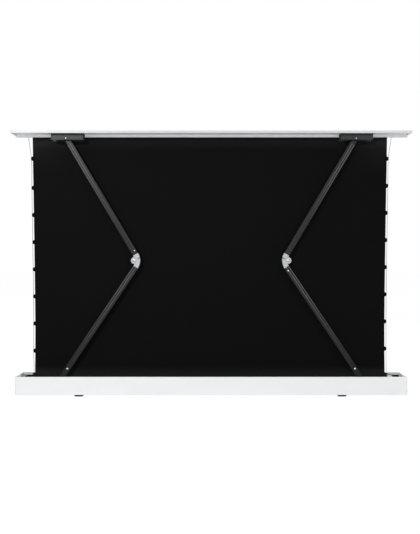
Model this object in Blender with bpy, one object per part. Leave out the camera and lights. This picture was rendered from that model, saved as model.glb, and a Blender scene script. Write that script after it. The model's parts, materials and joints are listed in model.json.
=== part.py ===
"""A floor-rising projection screen: a long case on the floor, two folding arms and a lid.

The lid draws the fabric up out of the case.

Metres, +Z up, +X along the case. The side with the arms is -Y and the viewing side is +Y.
The origin is on the floor, under the middle of the case.
"""

import math

import bmesh
import bpy
from mathutils import Euler, Vector

# Clearances
SEAT = 0.0003
RUNNING = 0.0004
OPEN_PIVOT = 0.0016
OVERRUN = 0.002

# Case
CASE_LENGTH = 2.490
CASE_DEPTH = 0.160
CASE_HEIGHT = 0.114
CASE_WALL = 0.003
END_CAP = 0.006
END_CAP_CORNER = 0.008
BEAD_WIDTH = 0.006
BEAD_HEIGHT = 0.0105
SEAL_THICKNESS = 0.003
SEAL_HEIGHT = 0.0035
CASE_LIP = 0.004
RAIL_NOTCH_GAP = 0.002

# Feet
FOOT_END_GAPS = {"left": 0.405, "right": 0.414}
FOOT_WIDTH = 0.054
FOOT_BAR = 0.0077
FOOT_PAD = 0.0027
FOOT_PAD_MARGIN = 0.004

# Screws
SCREW_HEAD_RADIUS = 0.006
SCREW_TOP_RADIUS = 0.0046
SCREW_HEAD_HEIGHT = 0.0025

# Folding arms, from pivot to pivot
LOWER_ARM = 0.975
PIVOT_INSET = 0.087
UPPER_ARM = LOWER_ARM - PIVOT_INSET
LOWER_OFFSET = 0.031
UPPER_OFFSET = 0.026
LOWER_LEAN = math.radians(33.9)
BASE_PIVOT_END_GAP = 0.2365
BASE_PIVOT_RISE = 0.026
ARM_Y = -0.042

# Arm profile
ARM_WIDTH = 0.034
ARM_THICKNESS = 0.024
ARM_WALL = 0.002
ARM_RECESS_START = 0.0005
ARM_RECESS_END = 0.0135
ARM_RECESS_SLOPE = 0.001
ARM_RECESS_DEPTH = 0.0015
TANG_LENGTH = 0.045

# Elbow castings
KNUCKLE_THICKNESS = 0.026
KNUCKLE_REACH = 0.0295
BOSS_RADIUS = 0.0215
TONGUE_THICKNESS = 0.0118
SHELL_LEVEL = 0.0365
SHELL_UPRIGHT = 0.060
LOWER_SHELL = (math.radians(118), math.radians(33))
UPPER_SHELL = (math.radians(120), math.radians(90))
PIN_RADIUS = 0.006
PIN_HEAD_RADIUS = 0.010
PIN_TOP_RADIUS = 0.008
PIN_HEAD = 0.0025

# Shoulder and top fittings
EYE_RADIUS = 0.017
EYE_REACH = 0.036
EYE_NECK_STEP = 0.002
CHEEK = 0.004
CHEEK_GAP = 0.0015
SHOULDER_INWARD = 0.020
SHOULDER_OUTWARD = 0.045
SHOULDER_BLOCK = 0.008
SHOULDER_RISE = 0.023
SHOULDER_CORNER = 0.008
FLANGE_WIDTH = 0.015
FLANGE_THICKNESS = 0.004
HUB_RADIUS = 0.011

# Lift springs and the screw that anchors each one
SPRING_RADIUS = 0.0065
SPRING_START = 0.150
SPRING_LENGTH = 0.520
SPRING_COLLAR = 0.012
SPRING_SCREW = 0.164

# Lid
LID_OVERHANG_X = 0.028
LID_OVERHANG_Y = 0.023
LID_PIVOT_DROP = 0.033
LID_THICKNESS = 0.010
LID_RIM_DROP = 0.005
LID_RIM_WIDTH = 0.018
LID_FRONT_SLOPE = 0.017
LID_FRONT_EDGE = 0.003
LID_WALL = 0.0018
LID_END_SLOPE = 0.005
LID_END_SKIN = 0.0022

# Lid brackets
BRACKET_LEFTWARD = 0.0975
BRACKET_RIGHTWARD = 0.1075
BRACKET_DEPTH = 0.0594
BRACKET_HEIGHT = 0.042
BRACKET_WALL = 0.003

# Fabric rail and its rod
RAIL_HEIGHT = 0.0155
RAIL_WIDTH = 0.0118
RAIL_WALL = 0.002
RAIL_SLOT = 0.003
RAIL_FLOOR = 0.0025
ROD_RADIUS = 0.003
ROD_END_GAP = 0.020

# Roller
ROLLER_Y = 0.026
ROLLER_RISE = 0.051
ROLLER_RADIUS = 0.030
ROLLER_WALL = 0.002
ROLLER_MOTOR_END_GAP = 0.049
ROLLER_IDLE_END_GAP = 0.105
WOUND_THICKNESS = 0.001
MOTOR_RADIUS = 0.0225
MOTOR_LENGTH = 0.540
MOTOR_FLANGE = 0.006
MOTOR_STUB = 0.007
MOTOR_END_GAP = 0.0015
DRIVE_WHEEL_LENGTH = 0.018
DRIVE_BORE = 0.008
IDLE_PLUG_LENGTH = 0.050
IDLE_PLUG_PROUD = 0.003
IDLE_PIN_RADIUS = 0.006
ROLLER_BRACKET = 0.004
ROLLER_BRACKET_DEPTH = 0.090
ROLLER_BRACKET_TOP = 0.034
ROLLER_BRACKET_FOOT = 0.022
ROLLER_HEAD_TOP = 0.050
ROLLER_HEAD_GAP = 0.004
ROLLER_HEAD_FLANGE = 0.0285

# Fabric
FABRIC_X = -0.0084
FABRIC_THICKNESS = 0.0006
FABRIC_ROLLER_MARGIN = 0.0039
FABRIC_WAIST_INSET = 0.0185
FABRIC_WAIST_HEIGHT = 0.395
FABRIC_SHOULDER = 0.0145
FABRIC_SHOULDER_TOP = 0.1415
FABRIC_SHOULDER_DROP = 0.0055
FABRIC_EDGE_STEPS = 14
FABRIC_UPPER_CURVE = 1.3
FABRIC_LOWER_CURVE = 1.6

# Tabs and tension cords
TAB_COUNT = 8
TAB_TOP_DROP = 0.140
TAB_SPACING = 0.175
LEFT_TAB_DROP = 0.0135
TAB_HEIGHT = 0.028
TAB_PROUD = 0.013
TAPE_WIDTH = 0.012
TAB_THICKNESS = 0.0012
TAB_ARC_STEPS = 8
CORD_RADIUS = 0.0013
CORD_TOP_OUTSET = 0.027
CORD_BOTTOM_DROP = 0.0025
CORD_TIP_INSET = 0.0025
CORD_EDGE_GAP = 0.0095

# Electrical pieces
BOX_LENGTH = 0.044
BOX_INLET_GAP = 0.005
BOX_DEPTH = 0.062
BOX_HEIGHT = 0.060
BOX_REAR_GAP = 0.006
INLET_Y = -0.020
INLET_RISE = 0.052
INLET_WIDTH = 0.028
INLET_HEIGHT = 0.020
INLET_DEPTH = 0.022
INLET_WALL = 0.002
INLET_FLANGE = 0.004
INLET_FLANGE_THICKNESS = 0.0015
INLET_RECESS = 0.017
BLADE_LENGTH = 0.011
BLADE_HEIGHT = 0.004
BLADE_THICKNESS = 0.002
BLADE_SPREAD = 0.007
BLADE_DROP = 0.002
ROCKER_Y = 0.020
ROCKER_WIDTH = 0.012
ROCKER_HEIGHT = 0.018
ROCKER_DEPTH = 0.009
ROCKER_ANGLE = math.radians(8)
WINDOW_END_GAP = 0.265
WINDOW_WIDTH = 0.036
WINDOW_HEIGHT = 0.014
WINDOW_RISE = 0.060

# Leads inside the case
MOTOR_LEAD_RADIUS = 0.0025
MOTOR_LEAD_OUT = 0.018
MOTOR_LEAD_FALL = 0.012
MOTOR_LEAD_BEND = 0.012
RECEIVER_LEAD_RADIUS = 0.0015
RECEIVER_LEAD_OUT = 0.0077
RECEIVER_LEAD_BEND = 0.006
LEAD_SPACING = 0.010
BOX_LEAD_RISE = 0.0207
BOX_LEAD_RUN = 0.029
BEND_STEPS = 6

# Sides and steps round a curve, and the sharpest edge that is shaded smooth
SMOOTH_ANGLE = math.radians(35)
ROUND = 32
SHAFT = 20
HEAD = 12
CORD_SIDES = 2
BOSS_STEPS = 20
LOWER_SHELL_STEPS = 10
UPPER_SHELL_STEPS = 5
CORNER_STEPS = 5

# Places worked out from the sizes
CASE_BOTTOM = FOOT_PAD + SEAT + FOOT_BAR + SEAT
CASE_TOP = CASE_BOTTOM + CASE_HEIGHT
FLOOR_TOP = CASE_BOTTOM + CASE_WALL
CASE_HALF = CASE_LENGTH / 2
DEPTH_HALF = CASE_DEPTH / 2
INNER_HALF = CASE_HALF - END_CAP - SEAT
INNER_Y = DEPTH_HALF - CASE_WALL
WINDOW_X = CASE_HALF - WINDOW_END_GAP

BASE_PIVOT_X = CASE_HALF - BASE_PIVOT_END_GAP
TOP_PIVOT_X = BASE_PIVOT_X - PIVOT_INSET
BASE_PIVOT_Z = CASE_BOTTOM + BASE_PIVOT_RISE
ELBOW_INWARD = LOWER_ARM * math.sin(LOWER_LEAN) - LOWER_OFFSET * math.cos(LOWER_LEAN)
ELBOW_X = BASE_PIVOT_X - ELBOW_INWARD
ELBOW_Z = BASE_PIVOT_Z + LOWER_ARM * math.cos(LOWER_LEAN) + LOWER_OFFSET * math.sin(LOWER_LEAN)
UPPER_REACH = math.hypot(UPPER_ARM, UPPER_OFFSET)
UPPER_LEAN = math.asin((ELBOW_INWARD - PIVOT_INSET) / UPPER_REACH) + math.atan2(UPPER_OFFSET, UPPER_ARM)
TOP_PIVOT_Z = ELBOW_Z + UPPER_ARM * math.cos(UPPER_LEAN) + UPPER_OFFSET * math.sin(UPPER_LEAN)
ARM_BORE_HALF = ARM_THICKNESS / 2 - ARM_RECESS_DEPTH - ARM_WALL - SEAT

LID_BOTTOM = TOP_PIVOT_Z + LID_PIVOT_DROP
LID_TOP = LID_BOTTOM + LID_THICKNESS
LID_HALF = CASE_HALF + LID_OVERHANG_X
LID_DEPTH_HALF = DEPTH_HALF + LID_OVERHANG_Y
LID_PROFILE_HALF = LID_HALF - LID_RIM_WIDTH
RAIL_TOP = LID_BOTTOM - SEAT
RAIL_BOTTOM = RAIL_TOP - RAIL_HEIGHT

ROLLER_Z = CASE_BOTTOM + ROLLER_RISE
ROLLER_LEFT = -(CASE_HALF - ROLLER_MOTOR_END_GAP)
ROLLER_RIGHT = CASE_HALF - ROLLER_IDLE_END_GAP
MOTOR_FLANGE_START = ROLLER_LEFT - MOTOR_END_GAP - MOTOR_FLANGE
MOTOR_STUB_END = MOTOR_FLANGE_START - SEAT - ROLLER_BRACKET - SEAT
WOUND_RADIUS = ROLLER_RADIUS + SEAT + WOUND_THICKNESS
FABRIC_Y = ROLLER_Y - WOUND_RADIUS - SEAT - FABRIC_THICKNESS / 2
ROD_Z = RAIL_BOTTOM + RAIL_FLOOR + SEAT + ROD_RADIUS
FABRIC_TOP = ROD_Z - ROD_RADIUS - SEAT
FABRIC_BOTTOM_HALF = ROLLER_RIGHT - FABRIC_ROLLER_MARGIN - FABRIC_X
FABRIC_WAIST_HALF = FABRIC_BOTTOM_HALF - FABRIC_WAIST_INSET
TAB_TOP_HEIGHT = FABRIC_TOP - TAB_TOP_DROP
CORD_TOP_X = FABRIC_BOTTOM_HALF + CORD_TOP_OUTSET
CORD_BOTTOM_HEIGHT = FABRIC_SHOULDER_TOP - CORD_BOTTOM_DROP
INLET_Z = CASE_BOTTOM + INLET_RISE
INLET_FACE = CASE_HALF + SEAT + INLET_FLANGE_THICKNESS
BOX_END = INLET_FACE - INLET_DEPTH - BOX_INLET_GAP
BOX_REAR = -INNER_Y + BOX_REAR_GAP
BOX_BASE = FLOOR_TOP + SEAT

SIDES = {"left": -1, "right": 1}
PLANES = {
    "X": lambda u, v, w: (w, u, v),
    "Y": lambda u, v, w: (u, w, v),
    "Z": lambda u, v, w: (u, v, w),
}


def clear_scene():
    """Removes what the start-up file holds."""
    for item in list(bpy.data.objects):
        bpy.data.objects.remove(item)


def finish(name, colour, roughness, metallic):
    """A plain material of one colour."""
    material = bpy.data.materials.new(name)
    material.use_nodes = True
    shader = material.node_tree.nodes["Principled BSDF"]
    shader.inputs["Base Color"].default_value = (*colour, 1)
    shader.inputs["Roughness"].default_value = roughness
    shader.inputs["Metallic"].default_value = metallic
    material.diffuse_color = (*colour, 1)
    return material


FINISHES = {
    "white_enamel": ((0.80, 0.81, 0.82), 0.35, 0.0),
    "bare_aluminium": ((0.62, 0.63, 0.65), 0.4, 1.0),
    "black_anodised": ((0.030, 0.031, 0.032), 0.42, 0.6),
    "grey_enamel": ((0.075, 0.080, 0.074), 0.45, 0.2),
    "cast_grey": ((0.56, 0.57, 0.58), 0.5, 0.4),
    "zinc": ((0.78, 0.78, 0.77), 0.25, 1.0),
    "dark_rubber": ((0.030, 0.030, 0.030), 0.85, 0.0),
    "black_fabric": ((0.008, 0.008, 0.008), 0.9, 0.0),
    "grey_cord": ((0.11, 0.11, 0.11), 0.7, 0.0),
    "black_plastic": ((0.020, 0.020, 0.021), 0.4, 0.0),
    "tinted_lens": ((0.020, 0.006, 0.010), 0.1, 0.0),
    "motor_steel": ((0.36, 0.37, 0.38), 0.35, 1.0),
}


def piece(name, shape, look):
    """Turns a finished shape into a named object with its own material."""
    bmesh.ops.recalc_face_normals(shape, faces=shape.faces)
    mesh = bpy.data.meshes.new(name)
    shape.to_mesh(mesh)
    shape.free()
    mesh.shade_smooth()
    mesh.set_sharp_from_angle(angle=SMOOTH_ANGLE)
    mesh.materials.append(finish(name + "_" + look, *FINISHES[look]))
    item = bpy.data.objects.new(name, mesh)
    bpy.context.scene.collection.objects.link(item)
    return item


def combine(item, shapes, operation):
    """Applies one Boolean to an object for each shape given."""
    helpers = []
    for number, shape in enumerate(shapes):
        helper = piece(f"{item.name}_helper_{number}", shape, "zinc")
        helper.data.materials.clear()
        change = item.modifiers.new(helper.name, "BOOLEAN")
        change.operation = operation
        change.solver = "EXACT"
        change.object = helper
        helpers.append(helper)
    seen = item.evaluated_get(bpy.context.evaluated_depsgraph_get())
    result = bpy.data.meshes.new_from_object(seen)
    item.modifiers.clear()
    item.data = result
    for helper in helpers:
        bpy.data.objects.remove(helper)


def cut(item, *shapes):
    combine(item, shapes, "DIFFERENCE")


def weld(item, *shapes):
    combine(item, shapes, "UNION")


def carry(axis, items):
    """Hangs pieces that stand where they belong on the empty of their joint."""
    bpy.context.view_layer.update()
    for item in items:
        item.parent = axis
        item.matrix_parent_inverse = axis.matrix_world.inverted()


def pivot(name, place, turn=0):
    """An empty on a joint's axis, turned about +Y."""
    axis = bpy.data.objects.new(name, None)
    axis.location = place
    axis.rotation_euler = Euler((0, turn, 0))
    bpy.context.scene.collection.objects.link(axis)
    return axis


def skin(shape, rings, hollow=False):
    """Joins rings of points into a closed solid, with ends unless the rings close on themselves."""
    loops = [[shape.verts.new(point) for point in ring] for ring in rings]
    pairs = list(zip(loops, loops[1:]))
    if hollow:
        pairs.append((loops[-1], loops[0]))
    for near, far in pairs:
        for k in range(len(near)):
            after = (k + 1) % len(near)
            shape.faces.new((near[k], near[after], far[after], far[k]))
    if not hollow:
        shape.faces.new(loops[0])
        shape.faces.new(reversed(loops[-1]))
    return shape


def prism(outline, axis, low, high, shape=None):
    """An outline pushed along an axis."""
    shape = shape or bmesh.new()
    put = PLANES[axis]
    return skin(shape, [[put(u, v, w) for u, v in outline] for w in (low, high)])


def hollow_prism(outer, inner, axis, low, high):
    """A tube of any section: both outlines have as many points."""
    put = PLANES[axis]
    rings = [(outer, low), (outer, high), (inner, high), (inner, low)]
    return skin(bmesh.new(), [[put(u, v, w) for u, v in line] for line, w in rings], hollow=True)


def box(x, y, z, shape=None):
    """A block between two limits along each axis."""
    corners = [(x[0], y[0]), (x[1], y[0]), (x[1], y[1]), (x[0], y[1])]
    return prism(corners, "Z", z[0], z[1], shape)


def turned(steps, axis, centre, sides, shape=None, hollow=False):
    """A turned solid: each step is a place along the axis and a radius there."""
    shape = shape or bmesh.new()
    put = PLANES[axis]
    rings = []
    for place, radius in steps:
        ring = []
        for k in range(sides):
            angle = 2 * math.pi * (k + 0.5) / sides
            offset = put(radius * math.cos(angle), radius * math.sin(angle), place)
            ring.append(Vector(centre) + Vector(offset))
        rings.append(ring)
    return skin(shape, rings, hollow)


def around(middle, half):
    """The two limits of a size about its middle."""
    return (middle - half, middle + half)


def ordered(sign, near, far):
    """Two distances from the middle as limits along X on one side."""
    return tuple(sorted((sign * near, sign * far)))


def rounded(width, height, corner, middle):
    """A rectangle with round corners, about its middle."""
    points = []
    for quarter, (right, up) in enumerate(((1, 1), (-1, 1), (-1, -1), (1, -1))):
        for k in range(CORNER_STEPS):
            angle = math.pi / 2 * (quarter + k / (CORNER_STEPS - 1))
            u = middle[0] + right * (width / 2 - corner) + corner * math.cos(angle)
            v = middle[1] + up * (height / 2 - corner) + corner * math.sin(angle)
            points.append((u, v))
    return points


def arm_screw(name):
    """The screw head on the rear face of a lower arm, in the arm's own frame."""
    face = -ARM_THICKNESS / 2 - SEAT
    steps = [
        (face, SCREW_HEAD_RADIUS),
        (face - SCREW_HEAD_HEIGHT / 2, SCREW_HEAD_RADIUS),
        (face - SCREW_HEAD_HEIGHT, SCREW_TOP_RADIUS),
    ]
    return piece(name, turned(steps, "Y", (SPRING_SCREW, 0, 0), HEAD), "zinc")


def make_case_shell():
    """Floor plate, panels with a bead along the top, seal and end caps."""
    length = around(0, INNER_HALF)
    floor = box(length, around(0, INNER_Y - SEAT), (CASE_BOTTOM, FLOOR_TOP))
    piece("floor_plate", floor, "bare_aluminium")

    for name, sign in (("rear_panel", -1), ("front_panel", 1)):
        outer = sign * DEPTH_HALF
        inner = sign * INNER_Y
        bead = sign * (DEPTH_HALF - BEAD_WIDTH)
        bead_bottom = CASE_TOP - BEAD_HEIGHT
        outline = [
            (outer, CASE_BOTTOM),
            (outer, CASE_TOP),
            (bead, CASE_TOP),
            (bead, bead_bottom),
            (inner, bead_bottom - CASE_LIP),
            (inner, CASE_BOTTOM),
        ]
        panel = piece(name, prism(outline, "X", *length), "white_enamel")
        if sign > 0:
            window = (WINDOW_WIDTH + SEAT, WINDOW_HEIGHT + SEAT)
            middle = (WINDOW_X, CASE_BOTTOM + WINDOW_RISE)
            hole = rounded(window[0] + SEAT, window[1] + SEAT, WINDOW_HEIGHT / 2, middle)
            cut(panel, prism(hole, "Y", inner - OVERRUN, outer + OVERRUN))

    seal_near = DEPTH_HALF - BEAD_WIDTH - SEAT
    seal = box(length, (seal_near - SEAL_THICKNESS, seal_near), (CASE_TOP - SEAL_HEIGHT, CASE_TOP))
    piece("seal_strip", seal, "dark_rubber")

    for side, sign in SIDES.items():
        middle = (0, CASE_BOTTOM + CASE_HEIGHT / 2)
        outline = rounded(CASE_DEPTH, CASE_HEIGHT, END_CAP_CORNER / 2, middle)
        limits = ordered(sign, CASE_HALF - END_CAP, CASE_HALF)
        cap = piece("end_cap_" + side, prism(outline, "X", *limits), "white_enamel")
        notch_half = RAIL_WIDTH / 2 + RAIL_NOTCH_GAP
        notch = box(
            (limits[0] - OVERRUN, limits[1] + OVERRUN),
            around(FABRIC_Y, notch_half),
            (CASE_TOP - RAIL_HEIGHT, CASE_TOP + OVERRUN),
        )
        cut(cap, notch)
        if sign > 0:
            cut(cap, inlet_hole(), rocker_hole())


def inlet_hole():
    width = around(INLET_Y, INLET_WIDTH / 2 + SEAT)
    height = around(INLET_Z, INLET_HEIGHT / 2 + SEAT)
    return box(around(CASE_HALF, END_CAP + OVERRUN), width, height)


def rocker_hole():
    width = around(ROCKER_Y, ROCKER_WIDTH / 2 + RUNNING)
    height = around(INLET_Z, ROCKER_HEIGHT / 2 + RUNNING)
    return box(around(CASE_HALF, END_CAP + OVERRUN), width, height)


def make_feet():
    """Two bars across the case, each with a rubber pad under it."""
    for side, sign in SIDES.items():
        middle = sign * (CASE_HALF - FOOT_END_GAPS[side])
        width = around(middle, FOOT_WIDTH / 2)
        bar = box(width, around(0, DEPTH_HALF), (FOOT_PAD + SEAT, FOOT_PAD + SEAT + FOOT_BAR))
        piece("foot_" + side, bar, "grey_enamel")
        pad_width = around(middle, FOOT_WIDTH / 2 - FOOT_PAD_MARGIN)
        pad = box(pad_width, around(0, DEPTH_HALF - FOOT_PAD_MARGIN), (0, FOOT_PAD))
        piece("foot_pad_" + side, pad, "dark_rubber")


def make_shoulders():
    """The brackets that hold the arms' lower pivots, and their pins."""
    slot_half = ARM_THICKNESS / 2 + CHEEK_GAP
    block_half = slot_half + CHEEK
    base = FLOOR_TOP + SEAT
    top = BASE_PIVOT_Z + SHOULDER_RISE
    for side, sign in SIDES.items():
        inner = sign * (BASE_PIVOT_X - SHOULDER_INWARD)
        outer = sign * (BASE_PIVOT_X + SHOULDER_OUTWARD)
        corner = sign * SHOULDER_CORNER
        outline = [
            (inner, base),
            (outer, base),
            (outer, top - SHOULDER_CORNER),
            (outer - corner, top),
            (inner + corner, top),
            (inner, top - SHOULDER_CORNER),
        ]
        block = prism(outline, "Y", *around(ARM_Y, block_half))
        bracket = piece("shoulder_bracket_" + side, block, "bare_aluminium")
        for end in (-1, 1):
            near = ARM_Y + end * (block_half - CHEEK / 2)
            far = ARM_Y + end * (block_half + FLANGE_WIDTH)
            length = tuple(sorted((inner, outer)))
            flange = box(length, tuple(sorted((near, far))), (base, base + FLANGE_THICKNESS))
            weld(bracket, flange)
        slot_end = sign * (BASE_PIVOT_X + SHOULDER_OUTWARD - SHOULDER_BLOCK)
        slot_start = sign * (BASE_PIVOT_X - SHOULDER_OUTWARD)
        slot = box(tuple(sorted((slot_start, slot_end))), around(ARM_Y, slot_half), (0, top + OVERRUN))
        centre = (sign * BASE_PIVOT_X, ARM_Y, BASE_PIVOT_Z)
        bore = turned([(-DEPTH_HALF, PIN_RADIUS + SEAT), (DEPTH_HALF, PIN_RADIUS + SEAT)], "Y", centre, SHAFT)
        cut(bracket, slot, bore)
        headed_pin("shoulder_pin_" + side, centre, block_half + SEAT)


def headed_pin(name, centre, half):
    """A pin along Y with a head at each end."""
    steps = [
        (-half - PIN_HEAD, PIN_TOP_RADIUS),
        (-half - PIN_HEAD / 2, PIN_HEAD_RADIUS),
        (-half, PIN_HEAD_RADIUS),
        (-half, PIN_RADIUS),
        (half, PIN_RADIUS),
        (half, PIN_HEAD_RADIUS),
        (half + PIN_HEAD / 2, PIN_HEAD_RADIUS),
        (half + PIN_HEAD, PIN_TOP_RADIUS),
    ]
    return piece(name, turned(steps, "Y", centre, SHAFT), "zinc")


def arm_outlines(outward):
    """The outer and inner lines of the arm profile: Y across its thickness, Z across its width.

    Both faces have one wide recess, on the side of the arm that outward gives.
    """
    half = outward * ARM_WIDTH / 2
    wall = outward * ARM_WALL
    deep = ARM_THICKNESS / 2
    bed = deep - ARM_RECESS_DEPTH
    start = outward * ARM_RECESS_START
    end = outward * ARM_RECESS_END
    slope = outward * ARM_RECESS_SLOPE
    outer = [(deep, -half), (deep, start), (bed, start + slope)]
    outer += [(bed, end - slope), (deep, end), (deep, half)]
    thin = deep - ARM_WALL
    low = bed - ARM_WALL
    inner = [(thin, wall - half), (thin, start - slope), (low, start), (low, end), (thin, end + slope)]
    inner.append((thin, half - wall))
    outer += [(-y, z) for y, z in reversed(outer)]
    inner += [(-y, z) for y, z in reversed(inner)]
    return outer, inner


def arm_tube(name, low, high, middle, outward):
    """An arm's profile between two places along it."""
    outer, inner = arm_outlines(outward)
    outer = [(y, z + middle) for y, z in outer]
    inner = [(y, z + middle) for y, z in inner]
    return piece(name, hollow_prism(outer, inner, "X", low, high), "black_anodised")


def tang(low, high, middle):
    """The tongue of a fitting inside an arm's profile."""
    wide = ARM_WIDTH / 2 - ARM_WALL - SEAT
    return box(tuple(sorted((low, high))), around(0, ARM_BORE_HALF), around(middle, wide))


def polar(angle, radius):
    """A point near the elbow: along the arm, then towards the inside of the bend.

    The angle is 0 straight past the pivot and a right angle on the outside of the bend.
    """
    return (-radius * math.cos(angle), -radius * math.sin(angle))


def shell(span, lean, steps):
    """The outer contour of a casting, one long oval that both castings share when the arms stand."""
    points = []
    for k in range(steps + 1):
        angle = span[0] + (span[1] - span[0]) * k / steps
        level = angle - (math.pi / 2 - lean)
        radius = 1 / math.hypot(math.cos(level) / SHELL_LEVEL, math.sin(level) / SHELL_UPRIGHT)
        points.append(polar(angle, radius))
    return points


def knuckle_outline(offset, contour):
    """A casting seen along the pin: its shoulder, its contour and the boss round the pin."""
    near = -offset + ARM_WIDTH / 2
    far = -offset - ARM_WIDTH / 2
    start = math.atan2(-contour[-1][1], -contour[-1][0])
    end = -math.pi - math.asin(-near / BOSS_RADIUS)
    boss = [polar(start + (end - start) * k / BOSS_STEPS, BOSS_RADIUS) for k in range(BOSS_STEPS + 1)]
    return [(KNUCKLE_REACH, near), (KNUCKLE_REACH, far)] + contour + boss


def make_knuckle(name, outline, place, offset, tongue):
    """An elbow casting, with place giving a point of its outline in the arm's own frame."""
    half = KNUCKLE_THICKNESS / 2
    thin = TONGUE_THICKNESS / 2
    casting = piece(name, prism([place(p, c) for p, c in outline], "Y", -half, half), "cast_grey")
    low = place(KNUCKLE_REACH - OVERRUN, -offset)
    high = place(KNUCKLE_REACH + TANG_LENGTH, -offset)
    weld(casting, tang(low[0], high[0], low[1]))
    centre_x, centre_z = place(0, 0)
    centre = (centre_x, 0, centre_z)
    clear = BOSS_RADIUS + RUNNING + SEAT
    if tongue:
        layers = [(thin, half + OVERRUN), (-half - OVERRUN, -thin)]
    else:
        layers = [(-thin - RUNNING, thin + RUNNING)]
    rings = [turned([(low, clear), (high, clear)], "Y", centre, ROUND) for low, high in layers]
    bore = PIN_RADIUS + RUNNING
    rings.append(turned([(-half - OVERRUN, bore), (half + OVERRUN, bore)], "Y", centre, SHAFT))
    cut(casting, *rings)
    return casting


def eye_fitting(name, reach, middle, eye_x, hub_half):
    """The fitting at an arm's other end: an eye or a wide hub round the pin, a neck and a tang."""
    deep = ARM_THICKNESS / 2
    direction = math.copysign(1, reach)
    eye = turned([(-deep, EYE_RADIUS), (deep, EYE_RADIUS)], "Y", (eye_x, 0, middle), ROUND)
    fitting = piece(name, eye, "black_anodised")
    neck_end = eye_x + reach
    half = EYE_RADIUS - EYE_NECK_STEP
    neck = box(tuple(sorted((eye_x, neck_end))), around(0, deep - SEAT), around(middle, half))
    tongue = tang(neck_end - direction * OVERRUN, neck_end + direction * TANG_LENGTH, middle)
    shapes = [neck, tongue]
    if hub_half > deep:
        hub = [(-hub_half, HUB_RADIUS), (hub_half, HUB_RADIUS)]
        shapes.append(turned(hub, "Y", (eye_x, 0, middle), SHAFT))
    weld(fitting, *shapes)
    return fitting


def bore_eye(fitting, eye_x, middle, radius):
    long = [(-DEPTH_HALF, radius), (DEPTH_HALF, radius)]
    cut(fitting, turned(long, "Y", (eye_x, 0, middle), SHAFT))


def make_arm(side, sign):
    """The lower and the upper arm of one side, each on the empty of its joint."""
    lower_axis = pivot(
        "lower_axis_" + side,
        (sign * BASE_PIVOT_X, ARM_Y, BASE_PIVOT_Z),
        turn_of(-sign * math.sin(LOWER_LEAN), math.cos(LOWER_LEAN)),
    )
    upper_axis = pivot(
        "upper_axis_" + side,
        (sign * ELBOW_X, ARM_Y, ELBOW_Z),
        turn_of(sign * math.sin(UPPER_LEAN), math.cos(UPPER_LEAN)),
    )
    make_lower_arm(side, sign, lower_axis)
    make_upper_arm(side, sign, upper_axis)


def turn_of(x, z):
    """The turn about +Y that lays the local X axis along a direction."""
    return math.atan2(-z, x)


def make_lower_arm(side, sign, axis):
    half = KNUCKLE_THICKNESS / 2

    def place(p, c):
        return (LOWER_ARM - p, -sign * (LOWER_OFFSET + c))

    tube = arm_tube("lower_arm_" + side, EYE_REACH + SEAT, LOWER_ARM - KNUCKLE_REACH - SEAT, 0, -sign)
    outline = knuckle_outline(LOWER_OFFSET, shell(LOWER_SHELL, LOWER_LEAN, LOWER_SHELL_STEPS))
    knuckle = make_knuckle("lower_knuckle_" + side, outline, place, LOWER_OFFSET, tongue=False)
    fitting = eye_fitting("shoulder_fitting_" + side, EYE_REACH, 0, 0, 0)
    bore_eye(fitting, 0, 0, PIN_RADIUS + RUNNING)
    pin = headed_pin("elbow_pin_" + side, (LOWER_ARM, 0, -sign * LOWER_OFFSET), half + SEAT)
    spring = lift_spring("lift_spring_" + side)
    parts = [tube, knuckle, fitting, pin, spring]
    parts.append(arm_screw("spring_screw_" + side))
    for item in parts:
        item.parent = axis


def lift_spring(name):
    """A strut inside the lower arm, seated on a collar at each end."""
    collar = ARM_BORE_HALF
    end = SPRING_START + SPRING_LENGTH
    steps = [
        (SPRING_START, collar),
        (SPRING_START + SPRING_COLLAR, collar),
        (SPRING_START + SPRING_COLLAR, SPRING_RADIUS),
        (end - SPRING_COLLAR, SPRING_RADIUS),
        (end - SPRING_COLLAR, collar),
        (end, collar),
    ]
    return piece(name, turned(steps, "X", (0, 0, 0), HEAD), "motor_steel")


def make_upper_arm(side, sign, axis):
    middle = sign * UPPER_OFFSET

    def place(p, c):
        return (p, -sign * c)

    high = UPPER_ARM - EYE_REACH - SEAT
    tube = arm_tube("upper_arm_" + side, KNUCKLE_REACH + SEAT, high, middle, -sign)
    outline = knuckle_outline(UPPER_OFFSET, shell(UPPER_SHELL, UPPER_LEAN, UPPER_SHELL_STEPS))
    knuckle = make_knuckle("upper_knuckle_" + side, outline, place, UPPER_OFFSET, tongue=True)
    hub_half = BRACKET_DEPTH / 2 - BRACKET_WALL - RUNNING
    fitting = eye_fitting("top_fitting_" + side, -EYE_REACH, middle, UPPER_ARM, hub_half)
    bore_eye(fitting, UPPER_ARM, middle, PIN_RADIUS + (OPEN_PIVOT if sign > 0 else RUNNING))
    parts = [tube, knuckle, fitting]
    for item in parts:
        item.parent = axis


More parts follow.
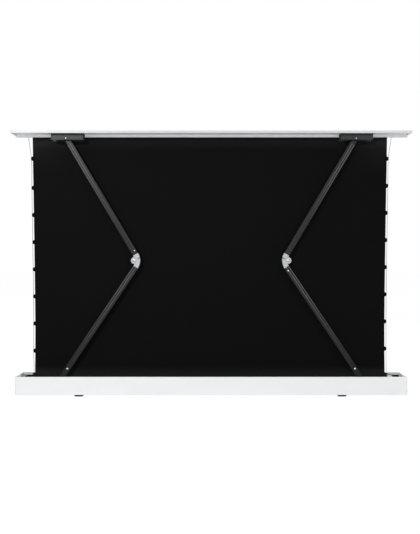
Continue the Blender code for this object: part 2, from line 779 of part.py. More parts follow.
def make_lid():
    """The lid's hollow profile, its end pieces, the rail and rod, and the two brackets."""
    axis = pivot("lid_axis", (-TOP_PIVOT_X, ARM_Y, TOP_PIVOT_Z))
    rim = LID_BOTTOM - LID_RIM_DROP
    edge = LID_DEPTH_HALF
    step = LID_RIM_WIDTH - edge
    slope_foot = edge - LID_FRONT_SLOPE
    slope_top = LID_TOP - LID_FRONT_EDGE
    wall = LID_WALL
    outer = [(edge, LID_TOP), (edge, slope_top), (slope_foot, LID_BOTTOM), (step, LID_BOTTOM)]
    outer += [(step, rim), (-edge, rim), (-edge, LID_TOP)]
    hollow_end = edge - LID_FRONT_SLOPE / 2
    inner = [
        (hollow_end, LID_TOP - wall),
        (hollow_end - wall, slope_top),
        (slope_foot - wall, LID_BOTTOM + wall),
        (step - wall, LID_BOTTOM + wall),
        (step - wall, rim + wall),
        (wall - edge, rim + wall),
        (wall - edge, LID_TOP - wall),
    ]
    profile = LID_PROFILE_HALF
    cover = piece("top_cover", hollow_prism(outer, inner, "X", -profile, profile), "white_enamel")
    parts = [cover]

    for side, sign in SIDES.items():
        near = sign * (LID_PROFILE_HALF + SEAT)
        outline = [
            (near, rim),
            (sign * (LID_HALF - LID_END_SLOPE), rim),
            (sign * LID_HALF, LID_TOP),
            (near, LID_TOP),
        ]
        cap = piece("cover_cap_" + side, prism(outline, "Y", -edge, edge), "white_enamel")
        inside = near - sign * OVERRUN
        skin_side = sign * (LID_HALF - LID_END_SKIN - LID_END_SLOPE)
        outside = sign * (LID_HALF + OVERRUN)
        rail_near, rail_far = around(FABRIC_Y, RAIL_WIDTH / 2 + SEAT)
        front = edge + OVERRUN
        below = rim - OVERRUN
        notch = [(inside, rail_near), (skin_side, rail_near), (skin_side, rail_far)]
        notch += [(outside, rail_far), (outside, front), (inside, front)]
        slope = [(slope_foot, LID_BOTTOM), (edge, slope_top), (front, slope_top), (front, below)]
        slope.append((slope_foot, below))
        ends = sorted((inside, outside))
        cut(cap, prism(notch, "Z", below, LID_BOTTOM), prism(slope, "X", *ends))
        parts.append(cap)

    parts += make_rail()
    parts += make_lid_brackets()
    carry(axis, parts)


def make_rail():
    """The rail that holds the fabric's top hem, and the rod in the hem."""
    half = LID_HALF - LID_END_SKIN - LID_END_SLOPE - SEAT
    wide = RAIL_WIDTH / 2
    cavity = wide - RAIL_WALL
    slot = RAIL_SLOT / 2
    top = RAIL_TOP - RAIL_WALL
    floor = RAIL_BOTTOM + RAIL_FLOOR
    right = [(wide, RAIL_TOP), (wide, RAIL_BOTTOM), (slot, RAIL_BOTTOM)]
    right += [(slot, floor), (cavity, floor), (cavity, top)]
    outline = [(FABRIC_Y + y, z) for y, z in right]
    outline += [(FABRIC_Y - y, z) for y, z in reversed(right)]
    rail = piece("fabric_rail", prism(outline, "X", -half, half), "white_enamel")
    rod_half = FABRIC_BOTTOM_HALF - ROD_END_GAP
    run = [(-rod_half, ROD_RADIUS), (rod_half, ROD_RADIUS)]
    rod = piece("hem_rod", turned(run, "X", (FABRIC_X, FABRIC_Y, ROD_Z), HEAD), "motor_steel")
    return [rail, rod]


def make_lid_brackets():
    """Two inverted channels under the lid, each with a pin."""
    parts = []
    top = LID_BOTTOM - SEAT
    bottom = top - BRACKET_HEIGHT
    web = top - BRACKET_WALL
    half = BRACKET_DEPTH / 2
    inner = half - BRACKET_WALL
    for side, sign in SIDES.items():
        outline = [(half, bottom), (half, top), (-half, top), (-half, bottom)]
        outline += [(-inner, bottom), (-inner, web), (inner, web), (inner, bottom)]
        line = [(ARM_Y + y, z) for y, z in outline]
        middle = sign * TOP_PIVOT_X
        shape = prism(line, "X", middle - BRACKET_LEFTWARD, middle + BRACKET_RIGHTWARD)
        bracket = piece("lid_bracket_" + side, shape, "grey_enamel")
        centre = (middle, ARM_Y, TOP_PIVOT_Z)
        hole = PIN_RADIUS + SEAT
        cut(bracket, turned([(-DEPTH_HALF, hole), (DEPTH_HALF, hole)], "Y", centre, SHAFT))
        parts.append(bracket)
        parts.append(headed_pin("top_pin_" + side, centre, half + SEAT))
    return parts


def make_roller():
    """The roller with its motor, plug, pin and end brackets."""
    axis = pivot("roller_axis", (0, ROLLER_Y, ROLLER_Z))
    centre = (0, ROLLER_Y, ROLLER_Z)
    inner = ROLLER_RADIUS - ROLLER_WALL
    fit = inner - SEAT
    left = ROLLER_LEFT
    right = ROLLER_RIGHT
    wall = [(left, ROLLER_RADIUS), (right, ROLLER_RADIUS), (right, inner), (left, inner)]
    tube = piece("roller_tube", turned(wall, "X", centre, ROUND, hollow=True), "bare_aluminium")
    first, last = around(FABRIC_X, FABRIC_BOTTOM_HALF)
    bore = ROLLER_RADIUS + SEAT
    turns = [(first, WOUND_RADIUS), (last, WOUND_RADIUS), (last, bore), (first, bore)]
    wound = piece("wound_fabric", turned(turns, "X", centre, ROUND, hollow=True), "black_fabric")

    motor_end = left + MOTOR_LENGTH
    wheel_start = motor_end + MOTOR_END_GAP
    wheel_end = wheel_start + DRIVE_WHEEL_LENGTH
    rim = [(wheel_start, fit), (wheel_end, fit), (wheel_end, DRIVE_BORE), (wheel_start, DRIVE_BORE)]
    wheel = piece("drive_wheel", turned(rim, "X", centre, ROUND, hollow=True), "black_plastic")
    flange_end = left - MOTOR_END_GAP
    body = [
        (MOTOR_STUB_END, MOTOR_STUB),
        (MOTOR_FLANGE_START, MOTOR_STUB),
        (MOTOR_FLANGE_START, ROLLER_RADIUS),
        (flange_end, ROLLER_RADIUS),
        (flange_end, MOTOR_RADIUS),
        (motor_end, MOTOR_RADIUS),
        (motor_end, DRIVE_BORE - RUNNING),
        (wheel_end, DRIVE_BORE - RUNNING),
    ]
    piece("tubular_motor", turned(body, "X", centre, ROUND), "motor_steel")

    pin_bore = IDLE_PIN_RADIUS + RUNNING
    plug_start = right - IDLE_PLUG_LENGTH
    plug_end = right + IDLE_PLUG_PROUD
    collar = right + SEAT
    ring = [
        (plug_start, fit),
        (collar, fit),
        (collar, ROLLER_RADIUS),
        (plug_end, ROLLER_RADIUS),
        (plug_end, pin_bore),
        (plug_start, pin_bore),
    ]
    plug = piece("idle_plug", turned(ring, "X", centre, ROUND, hollow=True), "black_plastic")
    bracket_right = plug_end + MOTOR_END_GAP
    pin_end = bracket_right + ROLLER_BRACKET + SEAT
    shaft = [
        (plug_start + SEAT, IDLE_PIN_RADIUS),
        (pin_end, IDLE_PIN_RADIUS),
        (pin_end, PIN_HEAD_RADIUS),
        (pin_end + PIN_HEAD, PIN_HEAD_RADIUS),
    ]
    piece("idle_pin", turned(shaft, "X", centre, SHAFT), "zinc")
    carry(axis, [tube, wound, wheel, plug])

    bracket_left = MOTOR_FLANGE_START - SEAT
    make_roller_bracket("left", bracket_left - ROLLER_BRACKET, bracket_left, MOTOR_STUB, -1)
    bracket_limits = (bracket_right, bracket_right + ROLLER_BRACKET)
    make_roller_bracket("right", *bracket_limits, IDLE_PIN_RADIUS, 1)


def make_roller_bracket(side, near, far, shaft, outward):
    """An upright plate with a foot and a flanged head, bored for what it holds.

    The head stands beside the closed rail.
    """
    base = FLOOR_TOP + SEAT
    depth = around(ROLLER_Y, ROLLER_BRACKET_DEPTH / 2)
    waist = ROLLER_Z + ROLLER_BRACKET_TOP
    head = ROLLER_Z + ROLLER_HEAD_TOP
    head_start = FABRIC_Y + RAIL_WIDTH / 2 + ROLLER_HEAD_GAP
    outline = [(depth[0], base), (depth[1], base), (depth[1], head)]
    outline += [(head_start, head), (head_start, waist), (depth[0], waist)]
    upright = prism(outline, "X", near, far)
    bracket = piece("roller_bracket_" + side, upright, "bare_aluminium")
    edge = far if outward > 0 else near
    inside = edge - outward * ROLLER_BRACKET / 2
    foot_run = tuple(sorted((inside, edge + outward * ROLLER_BRACKET_FOOT)))
    foot = box(foot_run, depth, (base, base + ROLLER_BRACKET))
    head_run = tuple(sorted((inside, edge + outward * ROLLER_HEAD_FLANGE)))
    flange = box(head_run, (head_start, depth[1]), (head - ROLLER_BRACKET, head))
    weld(bracket, foot, flange)
    hole = shaft + SEAT
    drill = turned([(near - OVERRUN, hole), (far + OVERRUN, hole)], "X", (0, ROLLER_Y, ROLLER_Z), SHAFT)
    cut(bracket, drill)


def fabric_half(height):
    """Half the fabric's width at a height: pulled in most at its waist, with a shoulder near its foot."""
    if height > FABRIC_WAIST_HEIGHT:
        share = (height - FABRIC_WAIST_HEIGHT) / (FABRIC_TOP - FABRIC_WAIST_HEIGHT)
        return FABRIC_WAIST_HALF + FABRIC_WAIST_INSET * share**FABRIC_UPPER_CURVE
    share = (FABRIC_WAIST_HEIGHT - height) / (FABRIC_WAIST_HEIGHT - ROLLER_Z)
    half = FABRIC_WAIST_HALF + (FABRIC_WAIST_INSET - FABRIC_SHOULDER) * share**FABRIC_LOWER_CURVE
    depth = (FABRIC_SHOULDER_TOP - height) / FABRIC_SHOULDER_DROP
    return half + FABRIC_SHOULDER * min(1, max(0, depth))


def make_fabric():
    """The raised sheet between the roller and the rail."""
    rise = (FABRIC_TOP - ROLLER_Z) / FABRIC_EDGE_STEPS
    heights = [ROLLER_Z + rise * k for k in range(FABRIC_EDGE_STEPS + 1)]
    heights += [FABRIC_SHOULDER_TOP, FABRIC_SHOULDER_TOP - FABRIC_SHOULDER_DROP]
    heights.sort()
    outline = [(FABRIC_X + fabric_half(z), z) for z in heights]
    outline += [(FABRIC_X - fabric_half(z), z) for z in reversed(heights)]
    sheet = prism(outline, "Y", *around(FABRIC_Y, FABRIC_THICKNESS / 2))
    piece("screen_fabric", sheet, "black_fabric")


def tab_heights(side):
    """The tabs from the top down: on the left, all but the first stand a little lower."""
    heights = [TAB_TOP_HEIGHT - TAB_SPACING * k for k in range(TAB_COUNT)]
    if side == "left":
        heights[1:] = [height - LEFT_TAB_DROP for height in heights[1:]]
    return heights


def tab_outline(height, edge):
    """A half-round tab past the fabric's edge, from its foot to its top."""
    points = []
    for k in range(TAB_ARC_STEPS + 1):
        angle = math.pi * (k / TAB_ARC_STEPS - 0.5)
        u = edge + TAB_PROUD * math.cos(angle)
        points.append((u, height + TAB_HEIGHT / 2 * math.sin(angle)))
    return points


def make_tapes():
    """A tape behind each edge of the fabric, with its row of half-round tabs."""
    front = FABRIC_Y - CORD_RADIUS - SEAT
    for side, sign in SIDES.items():
        heights = tab_heights(side)
        low = heights[-1] - TAB_HEIGHT
        high = heights[0] + TAB_HEIGHT
        outer = [(fabric_half(low), low)]
        inner = [(fabric_half(low) - TAPE_WIDTH, low)]
        for height in reversed(heights):
            edge = fabric_half(height)
            outer += tab_outline(height, edge)
            inner.append((edge - TAPE_WIDTH, height))
        outer.append((fabric_half(high), high))
        inner.append((fabric_half(high) - TAPE_WIDTH, high))
        line = [(FABRIC_X + sign * u, v) for u, v in outer + inner[::-1]]
        tape = prism(line, "Y", front - TAB_THICKNESS, front)
        piece("edge_tape_" + side, tape, "black_fabric")


def make_cords():
    """A straight-running cord down each row of tabs, from the rail to the fabric's shoulder."""
    for side, sign in SIDES.items():
        points = [(CORD_TOP_X, RAIL_BOTTOM - SEAT)]
        points += [(fabric_half(z) + TAB_PROUD - CORD_TIP_INSET, z) for z in tab_heights(side)]
        points.append((fabric_half(FABRIC_SHOULDER_TOP) + CORD_EDGE_GAP, CORD_BOTTOM_HEIGHT))
        route = [(FABRIC_X + sign * x, FABRIC_Y, z) for x, z in points]
        tube("tension_cord_" + side, route, CORD_RADIUS, "grey_cord")


def tube(name, route, radius, look):
    """A round cord through a list of points."""
    curve = bpy.data.curves.new(name, "CURVE")
    curve.dimensions = "3D"
    curve.bevel_depth = radius
    curve.bevel_resolution = CORD_SIDES
    curve.use_fill_caps = True
    line = curve.splines.new("POLY")
    line.points.add(len(route) - 1)
    for point, place in zip(line.points, route):
        point.co = (*place, 1)
    curve.materials.append(finish(name + "_" + look, *FINISHES[look]))
    item = bpy.data.objects.new(name, curve)
    bpy.context.scene.collection.objects.link(item)


def eased(corners, bend):
    """A route whose corners are eased into curves."""
    points = [Vector(corners[0])]
    for before, corner, after in zip(corners, corners[1:], corners[2:]):
        corner = Vector(corner)
        start = corner + (Vector(before) - corner).normalized() * bend
        end = corner + (Vector(after) - corner).normalized() * bend
        for k in range(BEND_STEPS + 1):
            share = k / BEND_STEPS
            points.append(start.lerp(corner, share).lerp(corner.lerp(end, share), share))
    points.append(Vector(corners[-1]))
    return points


def make_leads():
    """The leads of the motor and of the receiver, along the foot of the front panel to the control box."""
    box_front = BOX_REAR + BOX_DEPTH
    box_z = BOX_BASE + BOX_LEAD_RISE
    turn_y = box_front + BOX_LEAD_RUN
    motor_y = INNER_Y - SEAT - MOTOR_LEAD_RADIUS
    motor_z = FLOOR_TOP + SEAT + MOTOR_LEAD_RADIUS
    motor_x = MOTOR_STUB_END - MOTOR_LEAD_OUT
    box_x = BOX_END - BOX_LENGTH / 2
    corners = [
        (MOTOR_STUB_END - SEAT, ROLLER_Y, ROLLER_Z),
        (motor_x, ROLLER_Y, ROLLER_Z),
        (motor_x, motor_y, ROLLER_Z - MOTOR_LEAD_FALL),
        (motor_x, motor_y, motor_z),
        (box_x, motor_y, motor_z),
        (box_x, turn_y, box_z),
        (box_x, box_front + SEAT, box_z),
    ]
    tube("motor_lead", eased(corners, MOTOR_LEAD_BEND), MOTOR_LEAD_RADIUS, "dark_rubber")

    receiver_y = INNER_Y - SEAT - RECEIVER_LEAD_RADIUS
    receiver_z = motor_z + MOTOR_LEAD_RADIUS + SEAT + RECEIVER_LEAD_RADIUS
    receiver_x = box_x + LEAD_SPACING
    corners = [
        (WINDOW_X, INNER_Y - SEAT, CASE_BOTTOM + WINDOW_RISE),
        (WINDOW_X, INNER_Y - RECEIVER_LEAD_OUT, CASE_BOTTOM + WINDOW_RISE),
        (WINDOW_X, receiver_y, receiver_z),
        (receiver_x, receiver_y, receiver_z),
        (receiver_x, turn_y, box_z),
        (receiver_x, box_front + SEAT, box_z),
    ]
    tube("receiver_lead", eased(corners, RECEIVER_LEAD_BEND), RECEIVER_LEAD_RADIUS, "dark_rubber")


def make_electrics():
    """Control box, power inlet, rocker switch and the window of the remote's receiver."""
    middle = (BOX_REAR + BOX_DEPTH / 2, BOX_BASE + BOX_HEIGHT / 2)
    outline = rounded(BOX_DEPTH, BOX_HEIGHT, END_CAP_CORNER / 2, middle)
    piece("control_box", prism(outline, "X", BOX_END - BOX_LENGTH, BOX_END), "black_plastic")
    make_inlet()
    make_rocker()
    middle = (WINDOW_X, CASE_BOTTOM + WINDOW_RISE)
    lens = rounded(WINDOW_WIDTH, WINDOW_HEIGHT, WINDOW_HEIGHT / 2 - SEAT, middle)
    piece("infrared_window", prism(lens, "Y", INNER_Y, DEPTH_HALF + SEAT), "tinted_lens")


def make_inlet():
    """A standard three-blade inlet that fills its hole in the right end cap."""
    face = CASE_HALF + SEAT
    outside = INLET_FACE
    width = around(INLET_Y, INLET_WIDTH / 2)
    height = around(INLET_Z, INLET_HEIGHT / 2)
    body = box((outside - INLET_DEPTH, outside), width, height)
    inlet = piece("power_inlet", body, "black_plastic")
    flange = box(
        (face, outside),
        around(INLET_Y, INLET_WIDTH / 2 + INLET_FLANGE),
        around(INLET_Z, INLET_HEIGHT / 2 + INLET_FLANGE),
    )
    weld(inlet, flange)
    recess = box(
        (outside - INLET_RECESS, outside + OVERRUN),
        around(INLET_Y, INLET_WIDTH / 2 - INLET_WALL),
        around(INLET_Z, INLET_HEIGHT / 2 - INLET_WALL),
    )
    cut(inlet, recess)
    floor = outside - INLET_RECESS
    for across, drop in ((-1, 1), (0, -1), (1, 1)):
        y = INLET_Y + across * BLADE_SPREAD
        z = INLET_Z - drop * BLADE_DROP
        blade = box(
            (floor - OVERRUN, floor + BLADE_LENGTH),
            around(y, BLADE_THICKNESS / 2),
            around(z, BLADE_HEIGHT / 2),
        )
        weld(inlet, blade)


def make_rocker():
    """A rocker whose two faces meet at a slight angle over its axle."""
    axis_x = CASE_HALF - ROCKER_DEPTH / 2
    axis = pivot("rocker_axis", (axis_x, ROCKER_Y, INLET_Z))
    half = ROCKER_HEIGHT / 2 - RUNNING - SEAT
    face = ROCKER_DEPTH / 2 - RUNNING
    rise = half * math.tan(ROCKER_ANGLE)
    outline = [(face, 0), (face + rise, half), (0, half - rise)]
    outline += [(-face, 0), (0, -half + rise), (face + rise, -half)]
    turned_line = []
    for u, v in outline:
        x = u * math.cos(ROCKER_ANGLE) + v * math.sin(ROCKER_ANGLE)
        z = v * math.cos(ROCKER_ANGLE) - u * math.sin(ROCKER_ANGLE)
        turned_line.append((axis_x + x, INLET_Z + z))
    width = around(ROCKER_Y, ROCKER_WIDTH / 2)
    rocker = piece("power_rocker", prism(turned_line, "Y", *width), "black_plastic")
    carry(axis, [rocker])


def main():
    clear_scene()
    make_case_shell()
    make_feet()
    make_shoulders()
    make_roller()
    for side, sign in SIDES.items():
        make_arm(side, sign)
    make_lid()
    make_fabric()
    make_tapes()
    make_cords()
    make_electrics()
    make_leads()


main()
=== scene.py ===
"""The looks of a floor-rising projection screen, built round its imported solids.

Metres, in the solids' own frame: +X along the case, -Y the side with the arms, +Z up.
"""

import json
import math

import bmesh
import bpy
from mathutils import Matrix, Vector

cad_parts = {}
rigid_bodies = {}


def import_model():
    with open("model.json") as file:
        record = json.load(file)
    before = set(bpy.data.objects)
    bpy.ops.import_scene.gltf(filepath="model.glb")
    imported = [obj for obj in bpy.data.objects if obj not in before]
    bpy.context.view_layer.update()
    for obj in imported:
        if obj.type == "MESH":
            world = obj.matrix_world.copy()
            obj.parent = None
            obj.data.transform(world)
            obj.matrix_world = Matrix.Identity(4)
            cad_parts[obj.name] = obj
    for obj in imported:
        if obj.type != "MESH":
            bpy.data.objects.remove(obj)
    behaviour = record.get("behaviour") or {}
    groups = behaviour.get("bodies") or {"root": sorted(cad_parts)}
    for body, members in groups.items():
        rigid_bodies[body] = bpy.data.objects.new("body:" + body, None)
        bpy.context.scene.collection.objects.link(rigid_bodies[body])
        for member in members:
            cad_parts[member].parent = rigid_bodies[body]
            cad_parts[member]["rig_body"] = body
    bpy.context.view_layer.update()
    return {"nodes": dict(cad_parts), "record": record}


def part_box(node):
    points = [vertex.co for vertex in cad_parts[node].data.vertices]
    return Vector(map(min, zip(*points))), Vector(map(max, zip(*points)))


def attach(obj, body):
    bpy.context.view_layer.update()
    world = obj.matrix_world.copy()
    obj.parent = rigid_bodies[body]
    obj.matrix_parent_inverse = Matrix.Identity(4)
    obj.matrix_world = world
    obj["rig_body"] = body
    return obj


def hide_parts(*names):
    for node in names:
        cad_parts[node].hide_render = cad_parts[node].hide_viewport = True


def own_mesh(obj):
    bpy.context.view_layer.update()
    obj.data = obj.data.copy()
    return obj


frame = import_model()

SIDES = {"left": -1, "right": 1}
FACES = {"rear": -1, "front": 1}
SLOTS = {row["node"]: row["material_slot"] for row in frame["record"]["subparts"]}

# Joining and rounding of copied solids
MERGE = 0.00001
NEAR = MERGE * 10
FLAT = math.radians(0.5)
SHARP = math.radians(32)
SMOOTH = math.radians(38)
NORMAL_WEIGHT = 80

# Round pieces, and how far a piece sinks into the face that carries it
ROUND_SIDES = 64
SMALL_SIDES = 32
SLEEVE_SIDES = 20
HEXAGON = 6
SUNK = 0.0002

# Camera, from the photograph's horizon and scale
IMAGE_WIDTH = 420
IMAGE_HEIGHT = 534
SENSOR = 36.0
FOCAL_PIXELS = 631
HORIZON_ROW = 256
CENTRE_COLUMN = 211.15
CAMERA_BACK = 4.08
CAMERA_HEIGHT = 0.892

# Fabric
SHEET_THICKNESS = 0.0006
SHEET_COLUMNS = 142
SHEET_ROWS = 104
SHOULDER_TOP = 0.1415
SHOULDER_DROP = 0.0055
RIPPLE = 0.00045
RIPPLE_REACH = 0.09
VIEW_HALF_WIDTH = 1.107
VIEW_BOTTOM = 0.390
VIEW_TOP = 1.635
WIDTH_STEPS = 200

# Where the fabric's back is painted paler, a painted sheen of light off the lid and the case: below
# the lid, more so beside its middle, and at the case
PAINTED_SHEEN_BELOW_LID = 0.085
PAINTED_SHEEN_BESIDE_LID = 0.24
PAINTED_SHEEN_BESIDE = (0.80, 1.13)
PAINTED_SHEEN_AT_CASE = (0.125, 0.180)

# Fabric left on the roller
WOUND_INNER = 0.0304
WOUND_THICKNESS = 0.00035
WOUND_TURNS = 2
WOUND_STEPS = 72

# Tabs, tape and tension cords
TAB_COUNT = 8
TAB_TOP = 1.520
TAB_SPACING = 0.175
LEFT_TAB_DROP = 0.0135
TAB_REACH = 0.013
TAB_HEIGHT = 0.028
TAPE_WIDTH = 0.012
TAPE_THICKNESS = 0.0008
TAPE_OVERHANG = 0.0004
TAPE_ROWS = 96
TAB_THICKNESS = 0.0011
CORD_RADIUS = 0.0013
CORD_INSET = 0.0025
CORD_PLAY = 0.0002
CORD_BOTTOM = 0.139
CORD_BOTTOM_GAP = {"left": 0.0060, "right": 0.0100}
CORD_TOP_REACH = 1.1715
CORD_IN_RAIL = 0.001
SLEEVE_RADIUS = 0.0021
SLEEVE_BORE = CORD_RADIUS * 1.1
SLEEVE_LENGTH = 0.019
FERRULE = ((0, 0.0018), (0.001, 0.0024), (0.008, 0.0024), (0.010, 0.0016))

# Arms as they stand: their lean, and how far their middle line is from the elbow's pivot
ARM_LEAN = {"lower": math.radians(33.9), "upper": math.radians(30.705)}
ARM_OFFSET = {"lower": 0.031, "upper": 0.026}

# The recess's lips, painted bright, part wear and part painted highlight: where they run, and how
# far from the elbow the brightening changes
LIP_INNER = -0.0010
LIP_OUTER = 0.0132
LIP_WIDTH = 0.0018
LIP_WEAR_AND_HIGHLIGHT = {"lower": (0.15, 0.80), "upper": (0.20, 0.65)}

# The small screw beside each elbow: its arm, how far along it, and how far in from its middle
KNUCKLE_SCREWS = {"left": ("upper", 0.0535, 0.0065), "right": ("lower", 0.0550, 0.0045)}
KNUCKLE_SCREW = 0.0040
SPRING_SCREW_SUNK = 0.0003

# Pivot pins, with the dome of a head's rim in shares of its bevel, the bright shaft end at the
# lid, and the rings and washers round the pins
PIN_HEAD = 0.0025
PIN_HEAD_RADIUS = 0.010
PIN_RADIUS = 0.006
PIN_BEVEL = 0.0009
PIN_DOME = ((0, 2), (1, 0.4), (2, 0))
PIN_SOCKET = 0.0042
PIN_SOCKET_DEPTH = 0.7
SHAFT_END = ((0, 0.0028), (0.0004, 0.0028), (0.0009, 0.0019))
ELBOW_FACE = 0.013
ELBOW_RING = {"outer": 0.0155, "inner": 0.0108, "height": 0.0014, "edge": 0.0005}
SHOULDER_FACE = 0.0122
SHOULDER_WASHER = {"outer": 0.0115, "inner": 0.0064, "height": 0.0011, "edge": 0.0003}

# Screw heads: outlines in shares of height and radius, and the turn from one to the next
BUTTON_HEAD = ((0, 1), (0.3, 1), (0.7, 0.84), (1, 0.52))
PAN_HEAD = ((0, 1), (0.4, 1), (0.8, 0.8), (1, 0.4))
SCREW_TURN = 0.7

# Screws of the case
END_CAP_SCREW = 0.0042
END_CAP_INSET = 0.014
BRACKET_SCREW = 0.0045
BRACKET_FOOT = 0.004
SHOULDER_SCREWS_ALONG = (-0.020, 0.020)
SHOULDER_SCREW_INSET = 0.0072
ROLLER_SCREWS_OUT = 0.015
ROLLER_SCREWS_ACROSS = (-0.034, 0.0, 0.034)
CONTROL_SCREW = 0.0026
CONTROL_SCREW_INSET = 0.0065

# Screws of the lid
LID_BRACKET_WALL = 0.003
LID_SCREWS_ALONG = (-0.090, -0.050, 0.045, 0.082)
COVER_SCREW = 0.0032
COVER_SCREW_INSET = 0.002
COVER_SCREW_REAR_INSET = 0.028
COVER_SCREW_FRONT = 0.052
COVER_SCREW_FRONT_RISE = 0.005

# The folds of the lid's brackets: how wide they are rounded, and in how many steps
OUTER_FOLD = (0.0028, 5)
INNER_FOLD = (0.0014, 4)
BRACKET_EDGE = 0.0004
LONG_EDGE = 0.1

# Felt strip on the far panel: a dark strip where the panel's inside lies in shade, painted shade
PANEL_WALL = 0.003
SHADE_FELT_THICKNESS = 0.0016
SHADE_FELT_INSET = 0.002
SHADE_FELT_BOTTOM = 0.088
SHADE_FELT_TOP = 0.110
SHADE_FELT_EDGE = 0.0005

# Studio: the floor's own white, the world's light, and each lamp's place, aim, size and power
FLOOR_SIZE = 60
FLOOR_LEVEL = -0.0005
FLOOR_WHITE = 1.05
FLOOR_WHITE_SHARE = 0.92
WORLD_LIGHT = 0.40
LAMPS = {
    "left_key": ((-4.2, -8.6, 4.3), (0, 0, 0.8), 0.8, 430),
    "right_key": ((4.6, -8.6, 4.4), (0, 0, 0.8), 0.8, 110),
    "low_fill": ((0, -4.8, 0.5), (0, 0, 1.2), 2.0, 36),
    "front": ((1.6, 3.6, 2.4), (0, 0, 0.8), 2.6, 90),
    "top": ((0, -0.4, 4.2), (0, 0, 0), 3.0, 14),
}


def only_none():
    bpy.ops.object.select_all(action="DESELECT")


def only(*items):
    """Selects these objects and nothing else, with the last one active."""
    only_none()
    for item in items:
        item.select_set(True)
    bpy.context.view_layer.objects.active = items[-1]


def edit_all(item):
    """Opens a piece for editing, with all of it selected."""
    only(item)
    bpy.ops.object.mode_set(mode="EDIT")
    bpy.ops.mesh.select_all(action="SELECT")


def edit_edges(item, test):
    """Opens a piece for editing, with the edges chosen by a test."""
    only(item)
    bpy.ops.object.mode_set(mode="EDIT")
    bpy.ops.mesh.select_mode(type="EDGE")
    bpy.ops.mesh.select_all(action="DESELECT")
    mesh = bmesh.from_edit_mesh(item.data)
    for edge in mesh.edges:
        edge.select_set(bool(test(edge)))
    bmesh.update_edit_mesh(item.data)


def close():
    bpy.ops.object.mode_set(mode="OBJECT")


def smooth(item):
    """Shades a piece smooth between its sharp edges."""
    only(item)
    bpy.ops.object.shade_smooth_by_angle(angle=SMOOTH)
    return item


def settle(item, matrix=None):
    """Puts a piece's place into its mesh."""
    if matrix is not None:
        item.matrix_world = matrix
    only(item)
    bpy.ops.object.transform_apply(location=True, rotation=True, scale=True)
    return item


def change(item, kind, **settings):
    """Adds a modifier and applies it."""
    only(item)
    modifier = item.modifiers.new(kind.title(), kind)
    for name, value in settings.items():
        setattr(modifier, name, value)
    bpy.ops.object.modifier_apply(modifier=modifier.name)
    return item


def round_edges(item, width, segments=2):
    """Rounds each sharp edge, and shades the result smooth between flat faces."""
    limit = {"limit_method": "ANGLE", "angle_limit": SHARP}
    change(item, "BEVEL", width=width, segments=segments, **limit)
    smooth(item)
    return change(item, "WEIGHTED_NORMAL", keep_sharp=True, weight=NORMAL_WEIGHT)


def named(name):
    """The object that an operator has just made or joined, under its name."""
    item = bpy.context.active_object
    item.name = name
    return item


def added(name, data):
    """A new object in the scene, for a mesh, curve, light or camera."""
    item = bpy.data.objects.new(name, data)
    bpy.context.scene.collection.objects.link(item)
    return item


def block(name, low, high):
    """A block between two corners, to be shaped further."""
    low, high = Vector(low), Vector(high)
    only_none()
    bpy.ops.mesh.primitive_cube_add(size=1, location=(low + high) / 2, scale=high - low)
    return settle(named(name))


def turned(name, steps, sides=ROUND_SIDES):
    """Lathe work about Z: a disc is raised ring by ring through steps of height and radius."""
    only_none()
    start, radius = steps[0]
    bpy.ops.mesh.primitive_circle_add(
        vertices=sides, radius=radius, fill_type="NGON", location=(0, 0, start)
    )
    item = settle(named(name))
    edit_all(item)
    for height, wide in steps[1:]:
        rise = {"value": (0, 0, height - start)}
        bpy.ops.mesh.extrude_region_move(TRANSFORM_OT_translate=rise)
        if wide != radius:
            scale = wide / radius
            bpy.ops.transform.resize(value=(scale, scale, 1), center_override=(0, 0, height))
        start, radius = height, wide
    bpy.ops.mesh.select_all(action="SELECT")
    bpy.ops.mesh.normals_make_consistent(inside=False)
    close()
    return item


def aim(place, direction, turn=0.0):
    """The matrix that stands a piece made along Z at a place, along a direction."""
    along = Vector(direction).to_track_quat("Z", "Y").to_matrix().to_4x4()
    return Matrix.Translation(place) @ along @ Matrix.Rotation(turn, 4, "Z")


def carve(item, *cutters):
    """Cuts other shapes out of a piece."""
    for cutter in cutters:
        change(item, "BOOLEAN", operation="DIFFERENCE", solver="EXACT", object=cutter)
        bpy.data.objects.remove(cutter)
    return item


def copy_at(item, name, matrix):
    """A copy of a modelled piece, with its own mesh, at a place."""
    twin = added(name, item.data.copy())
    twin.data.transform(matrix)
    return twin


def copied(node, name):
    """A piece with a solid's shape, its corners joined and its flat faces whole."""
    item = added(name, frame["nodes"][node].data.copy())
    only(item)
    bpy.ops.mesh.customdata_custom_splitnormals_clear()
    edit_all(item)
    bpy.ops.mesh.remove_doubles(threshold=MERGE)
    bpy.ops.mesh.dissolve_limited(angle_limit=FLAT)
    close()
    return item


def body_of(node):
    return frame["nodes"][node]["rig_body"]


def both_sides(name):
    """A solid's own name, or the names of the left and the right one."""
    return [name] if name in frame["nodes"] else [f"{name}_{side}" for side in SIDES]


def wear(item, slot, body, *stands_for, finish=None):
    """Gives a piece its finish, its slot's own unless another is given, and the body it rides on.
    """
    item.data.materials.clear()
    item.data.materials.append(finish or FINISHES[slot])
    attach(item, body)
    if stands_for:
        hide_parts(*stands_for)
    return item


def span(node):
    """A solid's lowest corner, highest corner and middle."""
    low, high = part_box(node)
    return low, high, (low + high) / 2


sheet_low, sheet_high, sheet_middle = span("screen_fabric")


